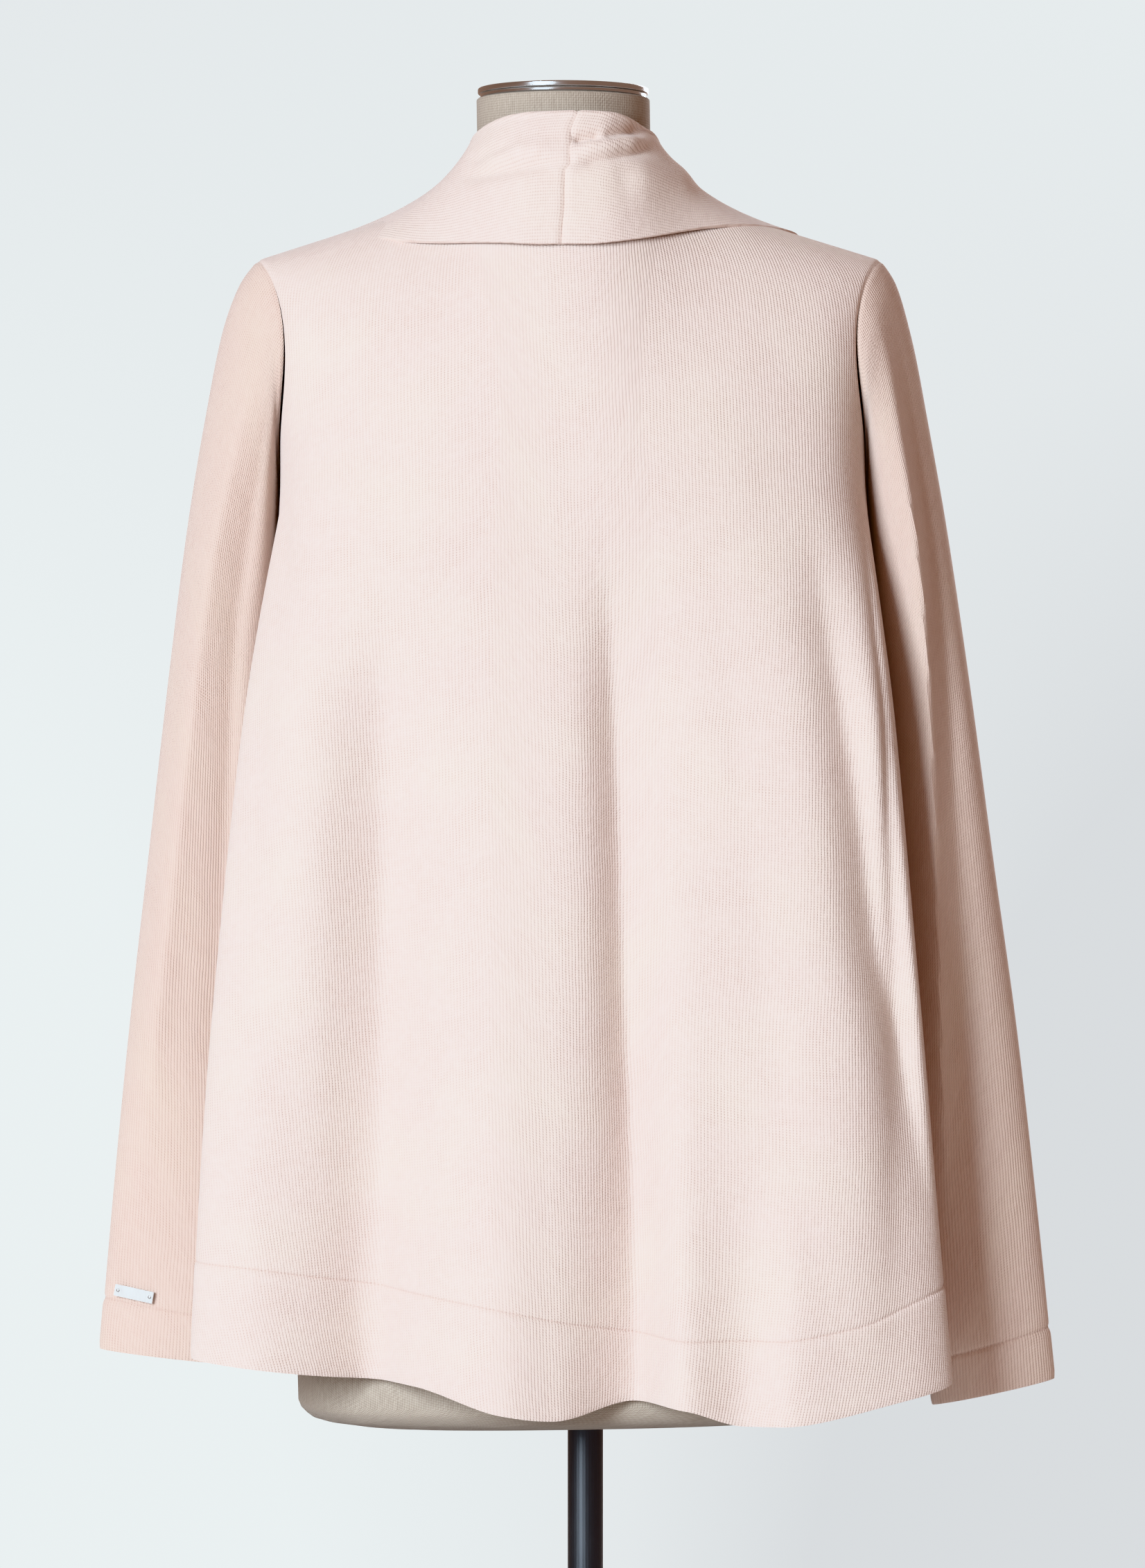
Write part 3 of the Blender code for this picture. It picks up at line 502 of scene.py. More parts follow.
# %% [markdown]
# ## Seams, hems and soft creases
#
# Where two panels are sewn together, the cloth rolls down into the seam. At the hem's
# stitched line the needle pulls the cloth in, and below it the cloth is double and a
# little fuller. Creases are drawn as lines on the back as the camera sees it, each with
# a width and a depth, and the cloth is moved along its own outward direction.

# %% Surface relief
SEAM_DIP = 0.0011
SEAM_WIDTH = 0.0017
STITCH_DIP = 0.0007
STITCH_WIDTH = 0.0011
HEM_SWELL = 0.0006


def seam_dip(distance):
    return -SEAM_DIP * np.exp(-(distance / SEAM_WIDTH) ** 2)


def hem_relief(from_line, from_hem):
    """Fuller double cloth below the stitched line, and the dip along the line itself."""
    below = smooth(-from_line / 0.004) * smooth(from_hem / 0.003)
    dip = -STITCH_DIP * np.exp(-(from_line / STITCH_WIDTH) ** 2)
    return HEM_SWELL * below + dip


def blur_across(points, reach):
    """Points softened along each row; reach is the blur's width in columns by row."""
    soft = points.copy()
    for row, width in enumerate(reach):
        if width < 0.5:
            continue
        half = int(3 * width)
        weights = np.exp(-0.5 * (np.arange(-half, half + 1) / width) ** 2)
        weights /= weights.sum()
        line = points[row]
        padded = np.concatenate([2 * line[0] - line[half:0:-1], line,
                                 2 * line[-1] - line[-2:-half - 2:-1]])
        for axis in range(3):
            soft[row, :, axis] = np.convolve(padded[:, axis], weights, mode="valid")
    return soft


def crease(points, start, end, width, depth):
    """A soft crease between two places (x, height) that fades out at both ends."""
    start, end = np.array(start), np.array(end)
    flat = points[..., [0, 2]]
    along = end - start
    part = np.sum((flat - start) * along, axis=-1) / np.dot(along, along)
    nearest = start + np.clip(part, 0, 1)[..., None] * along
    distance = np.linalg.norm(flat - nearest, axis=-1)
    fade = smooth(part / 0.3) * smooth((1 - part) / 0.3)
    return depth * fade * np.exp(-(distance / width) ** 2)


BACK_CREASES = [
    ((0.137, 0.500), (0.150, 0.090), 0.018, -0.0015),
]
print("soft creases in the back:", len(BACK_CREASES))

# %% [markdown]
# ## The back
#
# The back is one swing-shaped panel from shoulder to hem. It carries the folds that the
# photograph shows, a turned hem almost 60 mm deep and a seam along every other edge. Its
# upper part is blurred across, because the squarish sections would leave two corners on
# the shoulder blades that the soft cloth doesn't have.

# %% Back panel
SOFT_COLUMNS = 11.0
SOFT_ANGLE = 66.0
SOFT_ANGLE_FADE = 20.0
SOFT_END = 1.3
SOFT_FADE = 0.5


def back_angles(down):
    edge = armhole(down / 2)[0] if down < 1 else 90.0
    return (with_edges(BACK_COLUMNS, True, True) * 2 - 1) * edge


def soften_yoke(points, angles, downs):
    """The upper back blurred across, less towards the sides and not below the waist."""
    start = downs[:, 0]
    soft = blur_across(points, SOFT_COLUMNS * smooth(start / SOFT_FADE) * (start < SOFT_END))
    share = smooth((SOFT_ANGLE - np.abs(angles)[..., None]) / SOFT_ANGLE_FADE)
    return points + (soft - points) * share * smooth((SOFT_END - downs[..., None]) / SOFT_FADE)


def make_panel(name, angles_at, middle_column, seams, creases=(), soften=False):
    """A body panel; seams names which of its left, right and top edges are sewn."""
    angles, downs, from_line, from_hem = panel_downs(angles_at)
    points = body(angles, downs)
    if soften:
        points = soften_yoke(points, angles, downs)
    across, along = lengths(points, 1), lengths(points, 0)
    relief = hem_relief(from_line, from_hem)
    if "left" in seams:
        relief += seam_dip(across)
    if "right" in seams:
        relief += seam_dip(across[:, -1:] - across)
    if "top" in seams:
        relief += seam_dip(along)
    for start, end, width, depth in creases:
        relief += crease(points, start, end, width, depth)
    points = points + grid_normals(points) * relief[..., None]
    across = across - across[:, [middle_column]]
    piece = pull_grid(name, points, across, along)
    add_values(piece, "from_line", from_line)
    double = np.where(from_line < 0, 1.0, SINGLE_SHARE)
    give_wall(piece, CLOTH_WALL / SINGLE_SHARE, double)
    return piece, points, from_line


back, back_points, back_from_line = make_panel(
    "back_cloth", back_angles, len(back_angles(1.0)) // 2, ("left", "right", "top"),
    BACK_CREASES, soften=True)
print("width round the hem:", round(float(lengths(back_points, 1)[-1, -1]), 3), "m")

# %% [markdown]
# ## The fronts
#
# The photograph hides the fronts. They are finished plainly: open down the middle, with
# the same seams and hem as the back. The shawl collar covers the upper part of their
# front edges.

# %% Front panels
def left_front_angles(down):
    edge = armhole(1 - down / 2)[0] if 0 < down < 1 else 90.0
    return edge + (FRONT_EDGE - edge) * with_edges(FRONT_COLUMNS, True, True)


def right_front_angles(down):
    return -left_front_angles(down)[::-1]


front_left, front_left_points, front_left_from_line = make_panel(
    "front_left_cloth", left_front_angles, 0, ("left", "top"))
front_right, front_right_points, front_right_from_line = make_panel(
    "front_right_cloth", right_front_angles, -1, ("right", "top"))

# %% [markdown]
# ## The sleeves
#
# A sleeve is a grid rolled into a tube: its two long edges meet along the underarm. Its
# first ring follows the armhole of the back and front, and further down it hands over to
# its own sections. The table names a sleeve's outer and inner lines and its depth behind
# and in front of them. Both hang with a slight sway towards the wearer's left. Each has
# a long ridge and a trough, with a width towards its outer and its inner side, a height
# and a course: the turn round the sleeve by the way along it.

# %% Sleeve sections
SLEEVE = Table("along outer outer_height inner inner_height back front sway", [
    (0.00, 0.1890, 0.7000, 0.1770, 0.5550, 0.055, 0.055, 0.0098),
    (0.04, 0.1985, 0.6860, 0.1800, 0.5535, 0.055, 0.056, 0.0105),
    (0.09, 0.2085, 0.6560, 0.1812, 0.5400, 0.053, 0.056, 0.0115),
    (0.17, 0.2184, 0.6062, 0.1828, 0.5050, 0.049, 0.055, 0.0115),
    (0.28, 0.2300, 0.5380, 0.1850, 0.4500, 0.044, 0.053, 0.0110),
    (0.42, 0.2430, 0.4430, 0.1880, 0.3780, 0.038, 0.048, 0.0098),
    (0.58, 0.2560, 0.3380, 0.1920, 0.2900, 0.032, 0.041, 0.0085),
    (0.74, 0.2680, 0.2430, 0.1970, 0.2050, 0.026, 0.032, 0.0070),
    (0.88, 0.2790, 0.1400, 0.2030, 0.1100, 0.021, 0.025, 0.0060),
    (1.00, 0.2892, 0.0320, 0.2080, 0.0190, 0.018, 0.020, 0.0050),
])
LEFT_SLEEVE_FOLDS = [
    (0.085, 0.050, 0.0090, Table("along turn", [
        (0.05, 0.210), (0.30, 0.185), (0.50, 0.165), (0.80, 0.150)])),
    (0.060, 0.040, -0.0060, Table("along turn", [
        (0.05, 0.300), (0.30, 0.290), (0.50, 0.300), (0.80, 0.310)])),
]
RIGHT_SLEEVE_FOLDS = [
    (0.030, 0.080, 0.0130, Table("along turn", [
        (0.085, 0.180), (0.31, 0.235), (0.44, 0.261), (0.58, 0.289),
        (0.72, 0.317), (0.82, 0.340)])),
    (0.060, 0.040, -0.0080, Table("along turn", [
        (0.085, 0.110), (0.31, 0.160), (0.58, 0.210), (0.82, 0.250)])),
]
SLEEVE_FOLD_SHARPNESS = 1.4
ARMPIT_CLOSE = 0.0030
ARMPIT_START = 0.08
ARMPIT_END = 0.34
ARMPIT_FADE = 0.18
OUTER_RISE = 0.009
INNER_RISE = 0.012
FOLD_START = 0.25
FOLD_FADE_START = 0.70
FOLD_FADE_END = 0.93


def sleeve(side, turn, along):
    """A sleeve's outer face: turn is 0 outside, 0.25 behind and 0.5 inside."""
    turn, along = np.broadcast_arrays(np.asarray(turn, float), np.asarray(along, float))
    turn = turn % 1.0
    share = side * along ** 2
    high, low = SLEEVE.at(along, "outer_height"), SLEEVE.at(along, "inner_height")
    outer = stack(SLEEVE.at(along, "sway") + side * SLEEVE.at(along, "outer"), 0.0,
                  high + OUTER_RISE * share)
    closer = (ARMPIT_CLOSE * smooth(along / ARMPIT_START)
              * smooth((ARMPIT_END - along) / ARMPIT_FADE))
    inner = stack(LEAN * low + CLOTH_SHIFT + side * (SLEEVE.at(along, "inner") - closer), 0.0,
                  low + INNER_RISE * share)
    deep = np.where(turn <= 0.5, SLEEVE.at(along, "back"), SLEEVE.at(along, "front"))
    point = (outer + inner) / 2 + (outer - inner) / 2 * np.cos(2 * pi * turn)[..., None]
    point[..., 1] += deep * np.sin(2 * pi * turn)
    faded = smooth((along - FOLD_FADE_START) / (FOLD_FADE_END - FOLD_FADE_START))
    grown = smooth(along / FOLD_START) * (1 - faded)
    folds = LEFT_SLEEVE_FOLDS if side > 0 else RIGHT_SLEEVE_FOLDS
    for outer_width, inner_width, height, course in folds:
        aside = turn - course.at(along, "turn")
        width = np.where(aside < 0, outer_width, inner_width)
        point[..., 1] += height * grown * np.exp(-np.abs(aside / width) ** SLEEVE_FOLD_SHARPNESS)
    return point


print("sleeve from", sleeve(1, 0.0, 0.0).round(3), "to", sleeve(1, 0.0, 1.0).round(3))

# %% [markdown]
# ## Rolling the sleeves
#
# The rows crowd at the armhole's seam and at the stitched line of the cuff, 23 mm above
# its edge. The first ring is set on the armhole and eased into the sleeve's own section.
# On the wearer's left cuff the cloth is pressed in by a millimetre under the metal plate,
# so that the plate lies on it. At the end the two long edges are welded.

# %% Sleeve tubes
SLEEVE_TURN = 0.023
SLEEVE_EASE = 0.30
SLEEVE_COLUMNS = 84
SLEEVE_ROWS = 128
SLEEVE_CROWDING = 1.15
ARMHOLE_ROWS = (0.0, 0.0015, 0.003, 0.005)
ARMHOLE_ROWS_END = 0.006
CUFF_ROWS = (0.026, 0.0248, 0.024, 0.0235, 0.023, 0.0225, 0.022, 0.0212, 0.020, 0.017,
             0.0135, 0.010, 0.0065, 0.0035, 0.0015, 0.0)
PLATE_DENT = 0.0010
PLATE_DENT_REACH = 0.022
PLATE_DENT_FADE = 0.010
plate_middle = np.mean(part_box("cuff_plate"), axis=0)


def make_sleeve(name, side):
    half = 0.5 * (np.linspace(0, 1, SLEEVE_COLUMNS // 2 + 1)) ** YOKE_CROWDING
    turns = np.concatenate([-half[:0:-1], half])
    if side > 0:
        turns = turns[::-1]
    length = float(np.linalg.norm(sleeve(side, 0.0, 1.0) - sleeve(side, 0.0, 0.0)))
    upper = (np.arange(SLEEVE_ROWS) / SLEEVE_ROWS) ** SLEEVE_CROWDING
    upper = upper * (1 - CUFF_ROWS[0] / length)
    ways = np.concatenate([ARMHOLE_ROWS, upper[upper > ARMHOLE_ROWS_END],
                           1 - np.array(CUFF_ROWS) / length])
    rim = []
    for turn in turns:
        angle, down = armhole(turn % 1.0 if abs(turn) < 0.5 else 0.5)
        rim.append(body(side * angle, down))
    along, turn = np.meshgrid(ways, turns, indexing="ij")
    ease = (1 - smooth(along / SLEEVE_EASE))[..., None]
    points = sleeve(side, turn, along) + (np.array(rim) - sleeve(side, turns, 0.0)) * ease
    from_hem = (1 - along) * length
    across, down_lengths = lengths(points, 1), lengths(points, 0)
    relief = hem_relief(from_hem - SLEEVE_TURN, from_hem) + seam_dip(down_lengths)
    relief += seam_dip(across) + seam_dip(across[:, -1:] - across)
    normals = grid_normals(points)
    if side > 0:
        off_plate = np.linalg.norm(points + (0, 0, FORM_FOOT) - plate_middle, axis=2)
        relief -= PLATE_DENT * smooth((PLATE_DENT_REACH - off_plate) / PLATE_DENT_FADE)
    edge = unit(normals[:, 0] + normals[:, -1])
    normals[:, 0], normals[:, -1] = edge, edge
    points = points + normals * relief[..., None]
    across = across - across[:, [len(turns) // 2]]
    piece = pull_grid(name, points, across, down_lengths)
    add_values(piece, "from_line", from_hem - SLEEVE_TURN)
    add_values(piece, "double", np.where(from_hem < SLEEVE_TURN, 1.0, SINGLE_SHARE))
    weld(piece)
    kept = np.zeros(len(piece.data.vertices), dtype=np.float32)
    piece.data.attributes["double"].data.foreach_get("value", kept)
    give_wall(piece, CLOTH_WALL / SINGLE_SHARE, kept.round(2))
    return piece, points, from_hem - SLEEVE_TURN


sleeve_left, left_points, left_from_line = make_sleeve("sleeve_left_cloth", 1)
sleeve_right, right_points, right_from_line = make_sleeve("sleeve_right_cloth", -1)

# %% [markdown]
# ## The shawl collar
#
# The collar is a wide double band. It stands up from the neck seam, rolls over, and
# falls onto the back and shoulders, then runs on down the fronts as two lapels. Its two
# halves meet in a seam at the centre back. Each station along the seam has a roll line
# and an outer edge that lies on the body, and the cloth between them is a line of points.

# %% Collar stations
COLLAR = Table("seam roll_x roll_y roll_height away over_left over_right belly", [
    (-1.00, 0.0000, 0.0665, 0.7812, 0.0, -0.27, -0.27, 0.002),
    (-0.66, 0.0262, 0.0605, 0.7806, 11.0, -0.285, -0.28, 0.002),
    (-0.33, 0.0445, 0.0410, 0.7765, 24.0, -0.32, -0.285, 0.000),
    (-0.17, 0.0515, 0.0270, 0.7730, 32.0, -0.29, -0.215, -0.003),
    (0.00, 0.0570, 0.0080, 0.7690, 42.0, -0.215, -0.125, -0.006),
    (0.06, 0.0577, -0.0080, 0.7655, 49.0, -0.09, -0.06, -0.007),
    (0.14, 0.0580, -0.0300, 0.7570, 54.0, 0.055, 0.055, -0.006),
    (0.25, 0.0570, -0.0600, 0.7340, 53.5, 0.18, 0.18, 0.000),
    (0.60, 0.0460, -0.1170, 0.6540, 48.0, 0.66, 0.66, 0.009),
    (1.00, 0.0380, -0.1380, 0.5560, 43.0, 1.06, 1.06, 0.008),
    (1.17, 0.0400, -0.1445, 0.4700, 36.0, 1.24, 1.24, 0.006),
    (1.36, 0.0460, -0.1430, 0.3750, 26.0, 1.38, 1.38, 0.003),
])
COLLAR_WALL = 0.0026
ROLL_RADIUS = 0.0024
COLLAR_LIFT = 0.0036
COLLAR_SKEW = 0.03
STAND_STEPS = 8
ROLL_STEPS = 10
FALL_STEPS = 44
FALL_CROWDING = 1.15
ANGLE_STEP = 0.3
SEAM_STEP = 0.002


def body_normal(angle, down):
    """Outward direction of the cardigan's face."""
    turned = body(angle + ANGLE_STEP, down) - body(angle - ANGLE_STEP, down)
    lowered = body(angle, down + DOWN_STEP) - body(angle, down - DOWN_STEP)
    return unit(np.cross(turned, lowered))


def seam_place(side, seam):
    """The place on the body of the collar's seam."""
    if seam < 0:
        return side * NECK_ANGLE * (1 + seam), 0.0
    return side * FRONT_EDGE, seam


def collar_station(side, seam):
    """The middle of the collar's cloth at a station, from its seam to its outer edge."""
    def value(name):
        return float(COLLAR.at(seam, name))

    angle, down = seam_place(side, seam)
    point, outward = body(angle, down), body_normal(angle, down)
    ahead = body(*seam_place(side, seam + SEAM_STEP)) - body(*seam_place(side, seam - SEAM_STEP))
    off = unit(np.cross(ahead, outward))
    inside = body(angle, down + 0.05) if seam < 0 else body(side * (FRONT_EDGE - 3), down)
    if np.dot(off, inside - point) > 0:
        off = -off
    middle = (point[0] + body(-angle, down)[0]) / 2
    roll = np.array([middle + side * value("roll_x"), value("roll_y"), value("roll_height")])
    rim_middle = point - outward * CLOTH_WALL / 2
    up = unit(roll - rim_middle)
    start = rim_middle + off * COLLAR_WALL / 2 * np.linalg.norm(np.cross(up, off))
    from_neck = unit(np.array([roll[0] - middle, roll[1], 0.0]))
    share = smooth(seam / 0.3)
    facing = from_neck * (1 - share) + outward * share
    up = unit(roll - start)
    across = unit(facing - up * np.dot(facing, up))
    away = value("away") * (1 + side * COLLAR_SKEW)
    over = value("over_left" if side > 0 else "over_right")
    edge_place = (side * away, -over) if over < 0 else (side * (180 - away), over)
    edge = body(*edge_place) + body_normal(*edge_place) * COLLAR_LIFT
    near, far = roll - across * ROLL_RADIUS, roll + across * ROLL_RADIUS
    points = [start + (near - start) * step / STAND_STEPS for step in range(STAND_STEPS)]
    for step in range(ROLL_STEPS + 1):
        turn = pi * step / ROLL_STEPS
        points.append(roll - across * ROLL_RADIUS * cos(turn) + up * ROLL_RADIUS * sin(turn))
    chord = edge - far
    bulge = unit(facing - chord * np.dot(facing, chord) / np.dot(chord, chord))
    for step in range(1, FALL_STEPS + 1):
        part = 1 - (1 - step / FALL_STEPS) ** FALL_CROWDING
        points.append(far + chord * part + bulge * value("belly") * 4 * part * (1 - part))
    return points


print("a collar station has", STAND_STEPS + ROLL_STEPS + 1 + FALL_STEPS, "points")

# %% [markdown]
# ## Creases in the collar
#
# Worn and folded over, the collar is full of soft creases. The strongest is a tuck on
# the wearer's right: it starts at the centre seam under the roll and climbs to the
# shoulder side, with a rolled ridge below it. The wearer's left has one long shallow
# trough and a short one further out. The centre seam isn't straight: it steps sideways
# where the tuck crosses it. Before the creases are pressed in, the stations behind the
# shoulders are blurred into each other, so that only the drawn creases show.

# %% Collar halves
CENTRE_SEAM = Table("height shift", [
    (0.790, -0.0095), (0.782, -0.0070), (0.770, -0.0030), (0.752, -0.0028),
    (0.7475, 0.0002), (0.728, 0.0008), (0.712, 0.0022), (0.700, 0.0030),
])
CREASE_GAIN = 1.5
RIGHT_COLLAR_CREASES = [
    ((0.010, 0.7655), (-0.012, 0.7690), 0.0040, -0.0050),
    ((-0.004, 0.7665), (-0.040, 0.7760), 0.0045, -0.0040),
    ((0.012, 0.7600), (-0.040, 0.7690), 0.0060, 0.0030),
    ((0.010, 0.7500), (-0.045, 0.7640), 0.0045, -0.0030),
    ((-0.020, 0.7420), (-0.070, 0.7480), 0.0120, 0.0020),
]
LEFT_COLLAR_CREASES = [
    ((0.012, 0.7530), (0.080, 0.7460), 0.0055, -0.0030),
    ((0.012, 0.7600), (0.070, 0.7560), 0.0070, 0.0018),
    ((0.040, 0.7640), (0.075, 0.7540), 0.0040, -0.0018),
]
CENTRE_STATIONS = (-1.0, -0.985, -0.97, -0.95, -0.92)
BACK_STATIONS = 44
FRONT_STATIONS = 86
LAPEL_END = 1.36
COLLAR_SOFT_COLUMNS = 7.0
COLLAR_SOFT_START = -0.85
COLLAR_SOFT_END = 0.25
COLLAR_SOFT_FADE = 0.25
SHIFT_END = -0.4
SHIFT_FADE = 0.6
CENTRE_DIP = 2.0


def make_collar(name, side, creases):
    """Half a collar; side is 1 on the wearer's left and -1 on the right."""
    back_part = np.linspace(CENTRE_STATIONS[-1], 0.0, BACK_STATIONS)[1:]
    front_part = np.linspace(0.0, LAPEL_END, FRONT_STATIONS)[1:]
    seams = np.concatenate([CENTRE_STATIONS, back_part, front_part])[::side]
    points = np.array([collar_station(side, seam) for seam in seams]).swapaxes(0, 1)
    near_centre = smooth((SHIFT_END - seams) / SHIFT_FADE)
    points[..., 0] += CENTRE_SEAM.at(points[..., 2], "shift") * near_centre
    on_fall = smooth((np.arange(len(points)) - STAND_STEPS) / ROLL_STEPS)
    share = (smooth((seams - COLLAR_SOFT_START) / COLLAR_SOFT_FADE)
             * smooth((COLLAR_SOFT_END - seams) / COLLAR_SOFT_FADE))
    soft = blur_across(points, COLLAR_SOFT_COLUMNS * on_fall)
    points = points + (soft - points) * share[None, :, None]
    across, along = lengths(points, 0), lengths(points, 1)
    if side < 0:
        along = along - along[:, -1:]
    normals = grid_normals(points)
    on_fall = on_fall[:, None]
    behind = smooth((points[..., 1] + 0.005) / 0.02)
    relief = seam_dip(np.abs(along)) * on_fall * CENTRE_DIP
    for start, end, width, depth in creases:
        relief += CREASE_GAIN * crease(points, start, end, width, depth) * on_fall * behind
    points = points + normals * relief[..., None]
    piece = pull_grid(name, points, across, along)
    add_values(piece, "from_line", np.full(across.shape, 1.0))
    give_wall(piece, COLLAR_WALL, offset=0.0)
    return piece


collar_left = make_collar("collar_left_cloth", 1, LEFT_COLLAR_CREASES)
collar_right = make_collar("collar_right_cloth", -1, RIGHT_COLLAR_CREASES)

# %% [markdown]
# ## The dress form
#
# The form is a padded torso covered in coarse natural linen, with a cut-off neck. It is
# made as the cloth is: a grid rolled round the sections, closed at both ends by rings
# that shrink to a point. Three seams run down it, two behind and one in front.

# %% Linen form
FORM = Table("height half_width front back squareness", [
    (0.000, 0.1440, 0.0800, 0.0860, 2.5),
    (0.004, 0.1650, 0.0930, 0.0985, 2.5),
    (0.014, 0.1735, 0.0985, 0.1045, 2.5),
    (0.090, 0.1740, 0.0990, 0.1070, 2.5),
    (0.170, 0.1660, 0.0950, 0.1020, 2.5),
    (0.250, 0.1420, 0.0860, 0.0880, 2.4),
    (0.300, 0.1310, 0.0840, 0.0800, 2.4),
    (0.360, 0.1360, 0.0960, 0.0800, 2.4),
    (0.430, 0.1480, 0.1160, 0.0850, 2.4),
    (0.480, 0.1530, 0.1220, 0.0890, 2.4),
    (0.540, 0.1560, 0.1080, 0.0930, 2.4),
    (0.600, 0.1600, 0.0940, 0.0910, 2.4),
    (0.650, 0.1620, 0.0740, 0.0780, 2.4),
    (0.689, 0.1580, 0.0565, 0.0615, 2.3),
    (0.703, 0.1480, 0.0520, 0.0550, 2.3),
    (0.715, 0.1290, 0.0490, 0.0500, 2.2),
    (0.7245, 0.0940, 0.0460, 0.0465, 2.1),
    (0.732, 0.0620, 0.0470, 0.0475, 2.0),
    (0.742, 0.0535, 0.0500, 0.0500, 2.0),
    (0.760, 0.0525, 0.0520, 0.0520, 2.0),
    (0.798, 0.0525, 0.0525, 0.0525, 2.0),
])
FORM_SIDES = 144
FORM_SEAMS = (55.0, -55.0, 180.0)
FORM_SEAM_DIP = 0.0009
FORM_SEAM_WIDTH = 0.0022
FORM_SEAM_TOP = 0.74
FORM_REACH = 0.12
NECK_TOP = 0.798


def form_rings():
    """Pairs of a height and how much of the section is kept there, from below to above."""
    rings = [(0.0, share) for share in (0.001, 0.35, 0.7, 0.93, 0.985)]
    heights = np.concatenate([[0.0, 0.001, 0.0025, 0.0045, 0.007, 0.010, 0.014, 0.019],
                              np.linspace(0.025, 0.680, 90),
                              np.linspace(0.684, 0.760, 34), np.linspace(0.764, 0.7970, 10)])
    rings += [(height, 1.0) for height in heights]
    rings += [(0.7976, 0.994), (0.798, 0.985)]
    rings += [(0.798, share) for share in (0.9, 0.6, 0.3, 0.001)]
    return rings


def make_form():
    angles = np.linspace(180, -180, FORM_SIDES + 1)
    rows = []
    for height, share in form_rings()[::-1]:
        depth = np.where(np.abs(angles) < 90, FORM.at(height, "back"), FORM.at(height, "front"))
        x, y = rounded(angles, FORM.at(height, "half_width"), depth,
                       FORM.at(height, "squareness"))
        for seam in FORM_SEAMS:
            off = np.abs((angles - seam + 180) % 360 - 180) * pi / 180 * np.hypot(x, y)
            dip = FORM_SEAM_DIP * np.exp(-(off / FORM_SEAM_WIDTH) ** 2)
            dip = dip * (height < FORM_SEAM_TOP)
            x, y = x * (1 - dip / FORM_REACH), y * (1 - dip / FORM_REACH)
        tilt = LEAN * x * (1 - height / NECK_TOP)
        rows.append(stack(x * share + LEAN * height, y * share, height - tilt * share))
    points = np.array(rows)[:, ::-1]
    piece = pull_grid("linen_form", points, lengths(points, 1), lengths(points, 0))
    weld(piece)
    piece.data.shade_smooth()
    print("linen_form has", len(piece.data.polygons), "faces")
    return piece


linen_form = make_form()

# %% [markdown]
# ## Neck cap, pole and base
#
# A polished disc closes the neck. It is a cylinder primitive whose rim is bevelled and
# whose underside steps in to a smaller foot, so a shaded line shows over the linen. The
# pole and the base plate keep their CAD shapes and only get better materials.

# %% Neck cap
CAP_RADIUS = 0.0517
CAP_THICK = 0.0060
CAP_GAP = 0.0003
CAP_LIP = 0.0034
CAP_RIM = 0.0009
FOOT_INSET = 0.0016


def select_faces(mesh, wanted):
    """Select only the faces for which wanted(face) is true."""
    for face in mesh.polygons:
        face.select = bool(wanted(face))
    for edge in mesh.edges:
        edge.select = False
    for vertex in mesh.vertices:
        vertex.select = False


def make_cap():
    bottom = FORM_FOOT + NECK_TOP + CAP_GAP
    bpy.ops.mesh.primitive_cylinder_add(
        vertices=96, radius=CAP_RADIUS, depth=CAP_LIP,
        location=(LEAN * NECK_TOP, 0, bottom + CAP_THICK - CAP_LIP / 2))
    piece = bpy.context.object
    piece.name = "chrome_cap"
    bpy.ops.object.transform_apply(location=True, rotation=True, scale=True)
    select_faces(piece.data, lambda face: face.normal.z < -0.9)
    bpy.ops.object.mode_set(mode="EDIT")
    bpy.ops.mesh.inset(thickness=FOOT_INSET)
    bpy.ops.mesh.extrude_region_move(
        TRANSFORM_OT_translate={"value": (0, 0, -(CAP_THICK - CAP_LIP))})
    bpy.ops.object.mode_set(mode="OBJECT")
    rim = piece.modifiers.new("rim", "BEVEL")
    rim.width = CAP_RIM
    rim.segments = 3
    rim.limit_method = "ANGLE"
    apply_modifiers(piece)
    piece.data.shade_smooth()
    piece.data.set_sharp_from_angle(angle=radians(40))
    print("chrome_cap has", len(piece.data.polygons), "faces")
    return piece


chrome_cap = make_cap()

# %% [markdown]
# ## Stitching
#
# The turned hems are held by one line of small straight stitches. One stitch is made
# from a low sphere primitive stretched to a capsule, and its copies follow the line,
# each turned along it and pressed into the cloth. They are joined into one piece a hem.

# %% Stitches
STITCH_PITCH = 0.0024
STITCH_LENGTH = 0.0016
THREAD_RADIUS = 0.00020
LOOK_AHEAD = 0.001


def one_stitch():
    """Corners and faces of a low capsule that lies along x."""
    bpy.ops.mesh.primitive_uv_sphere_add(segments=6, ring_count=4, radius=1)
    ball = bpy.context.object
    corners = np.array([vertex.co[:] for vertex in ball.data.vertices])
    faces = [tuple(face.vertices) for face in ball.data.polygons]
    bpy.data.objects.remove(ball)
    return corners[:, [2, 0, 1]], faces


def between(place, travelled, rows):
    """A point or direction read at a distance along a line of them."""
    return np.array([np.interp(place, travelled, rows[:, axis]) for axis in range(3)])


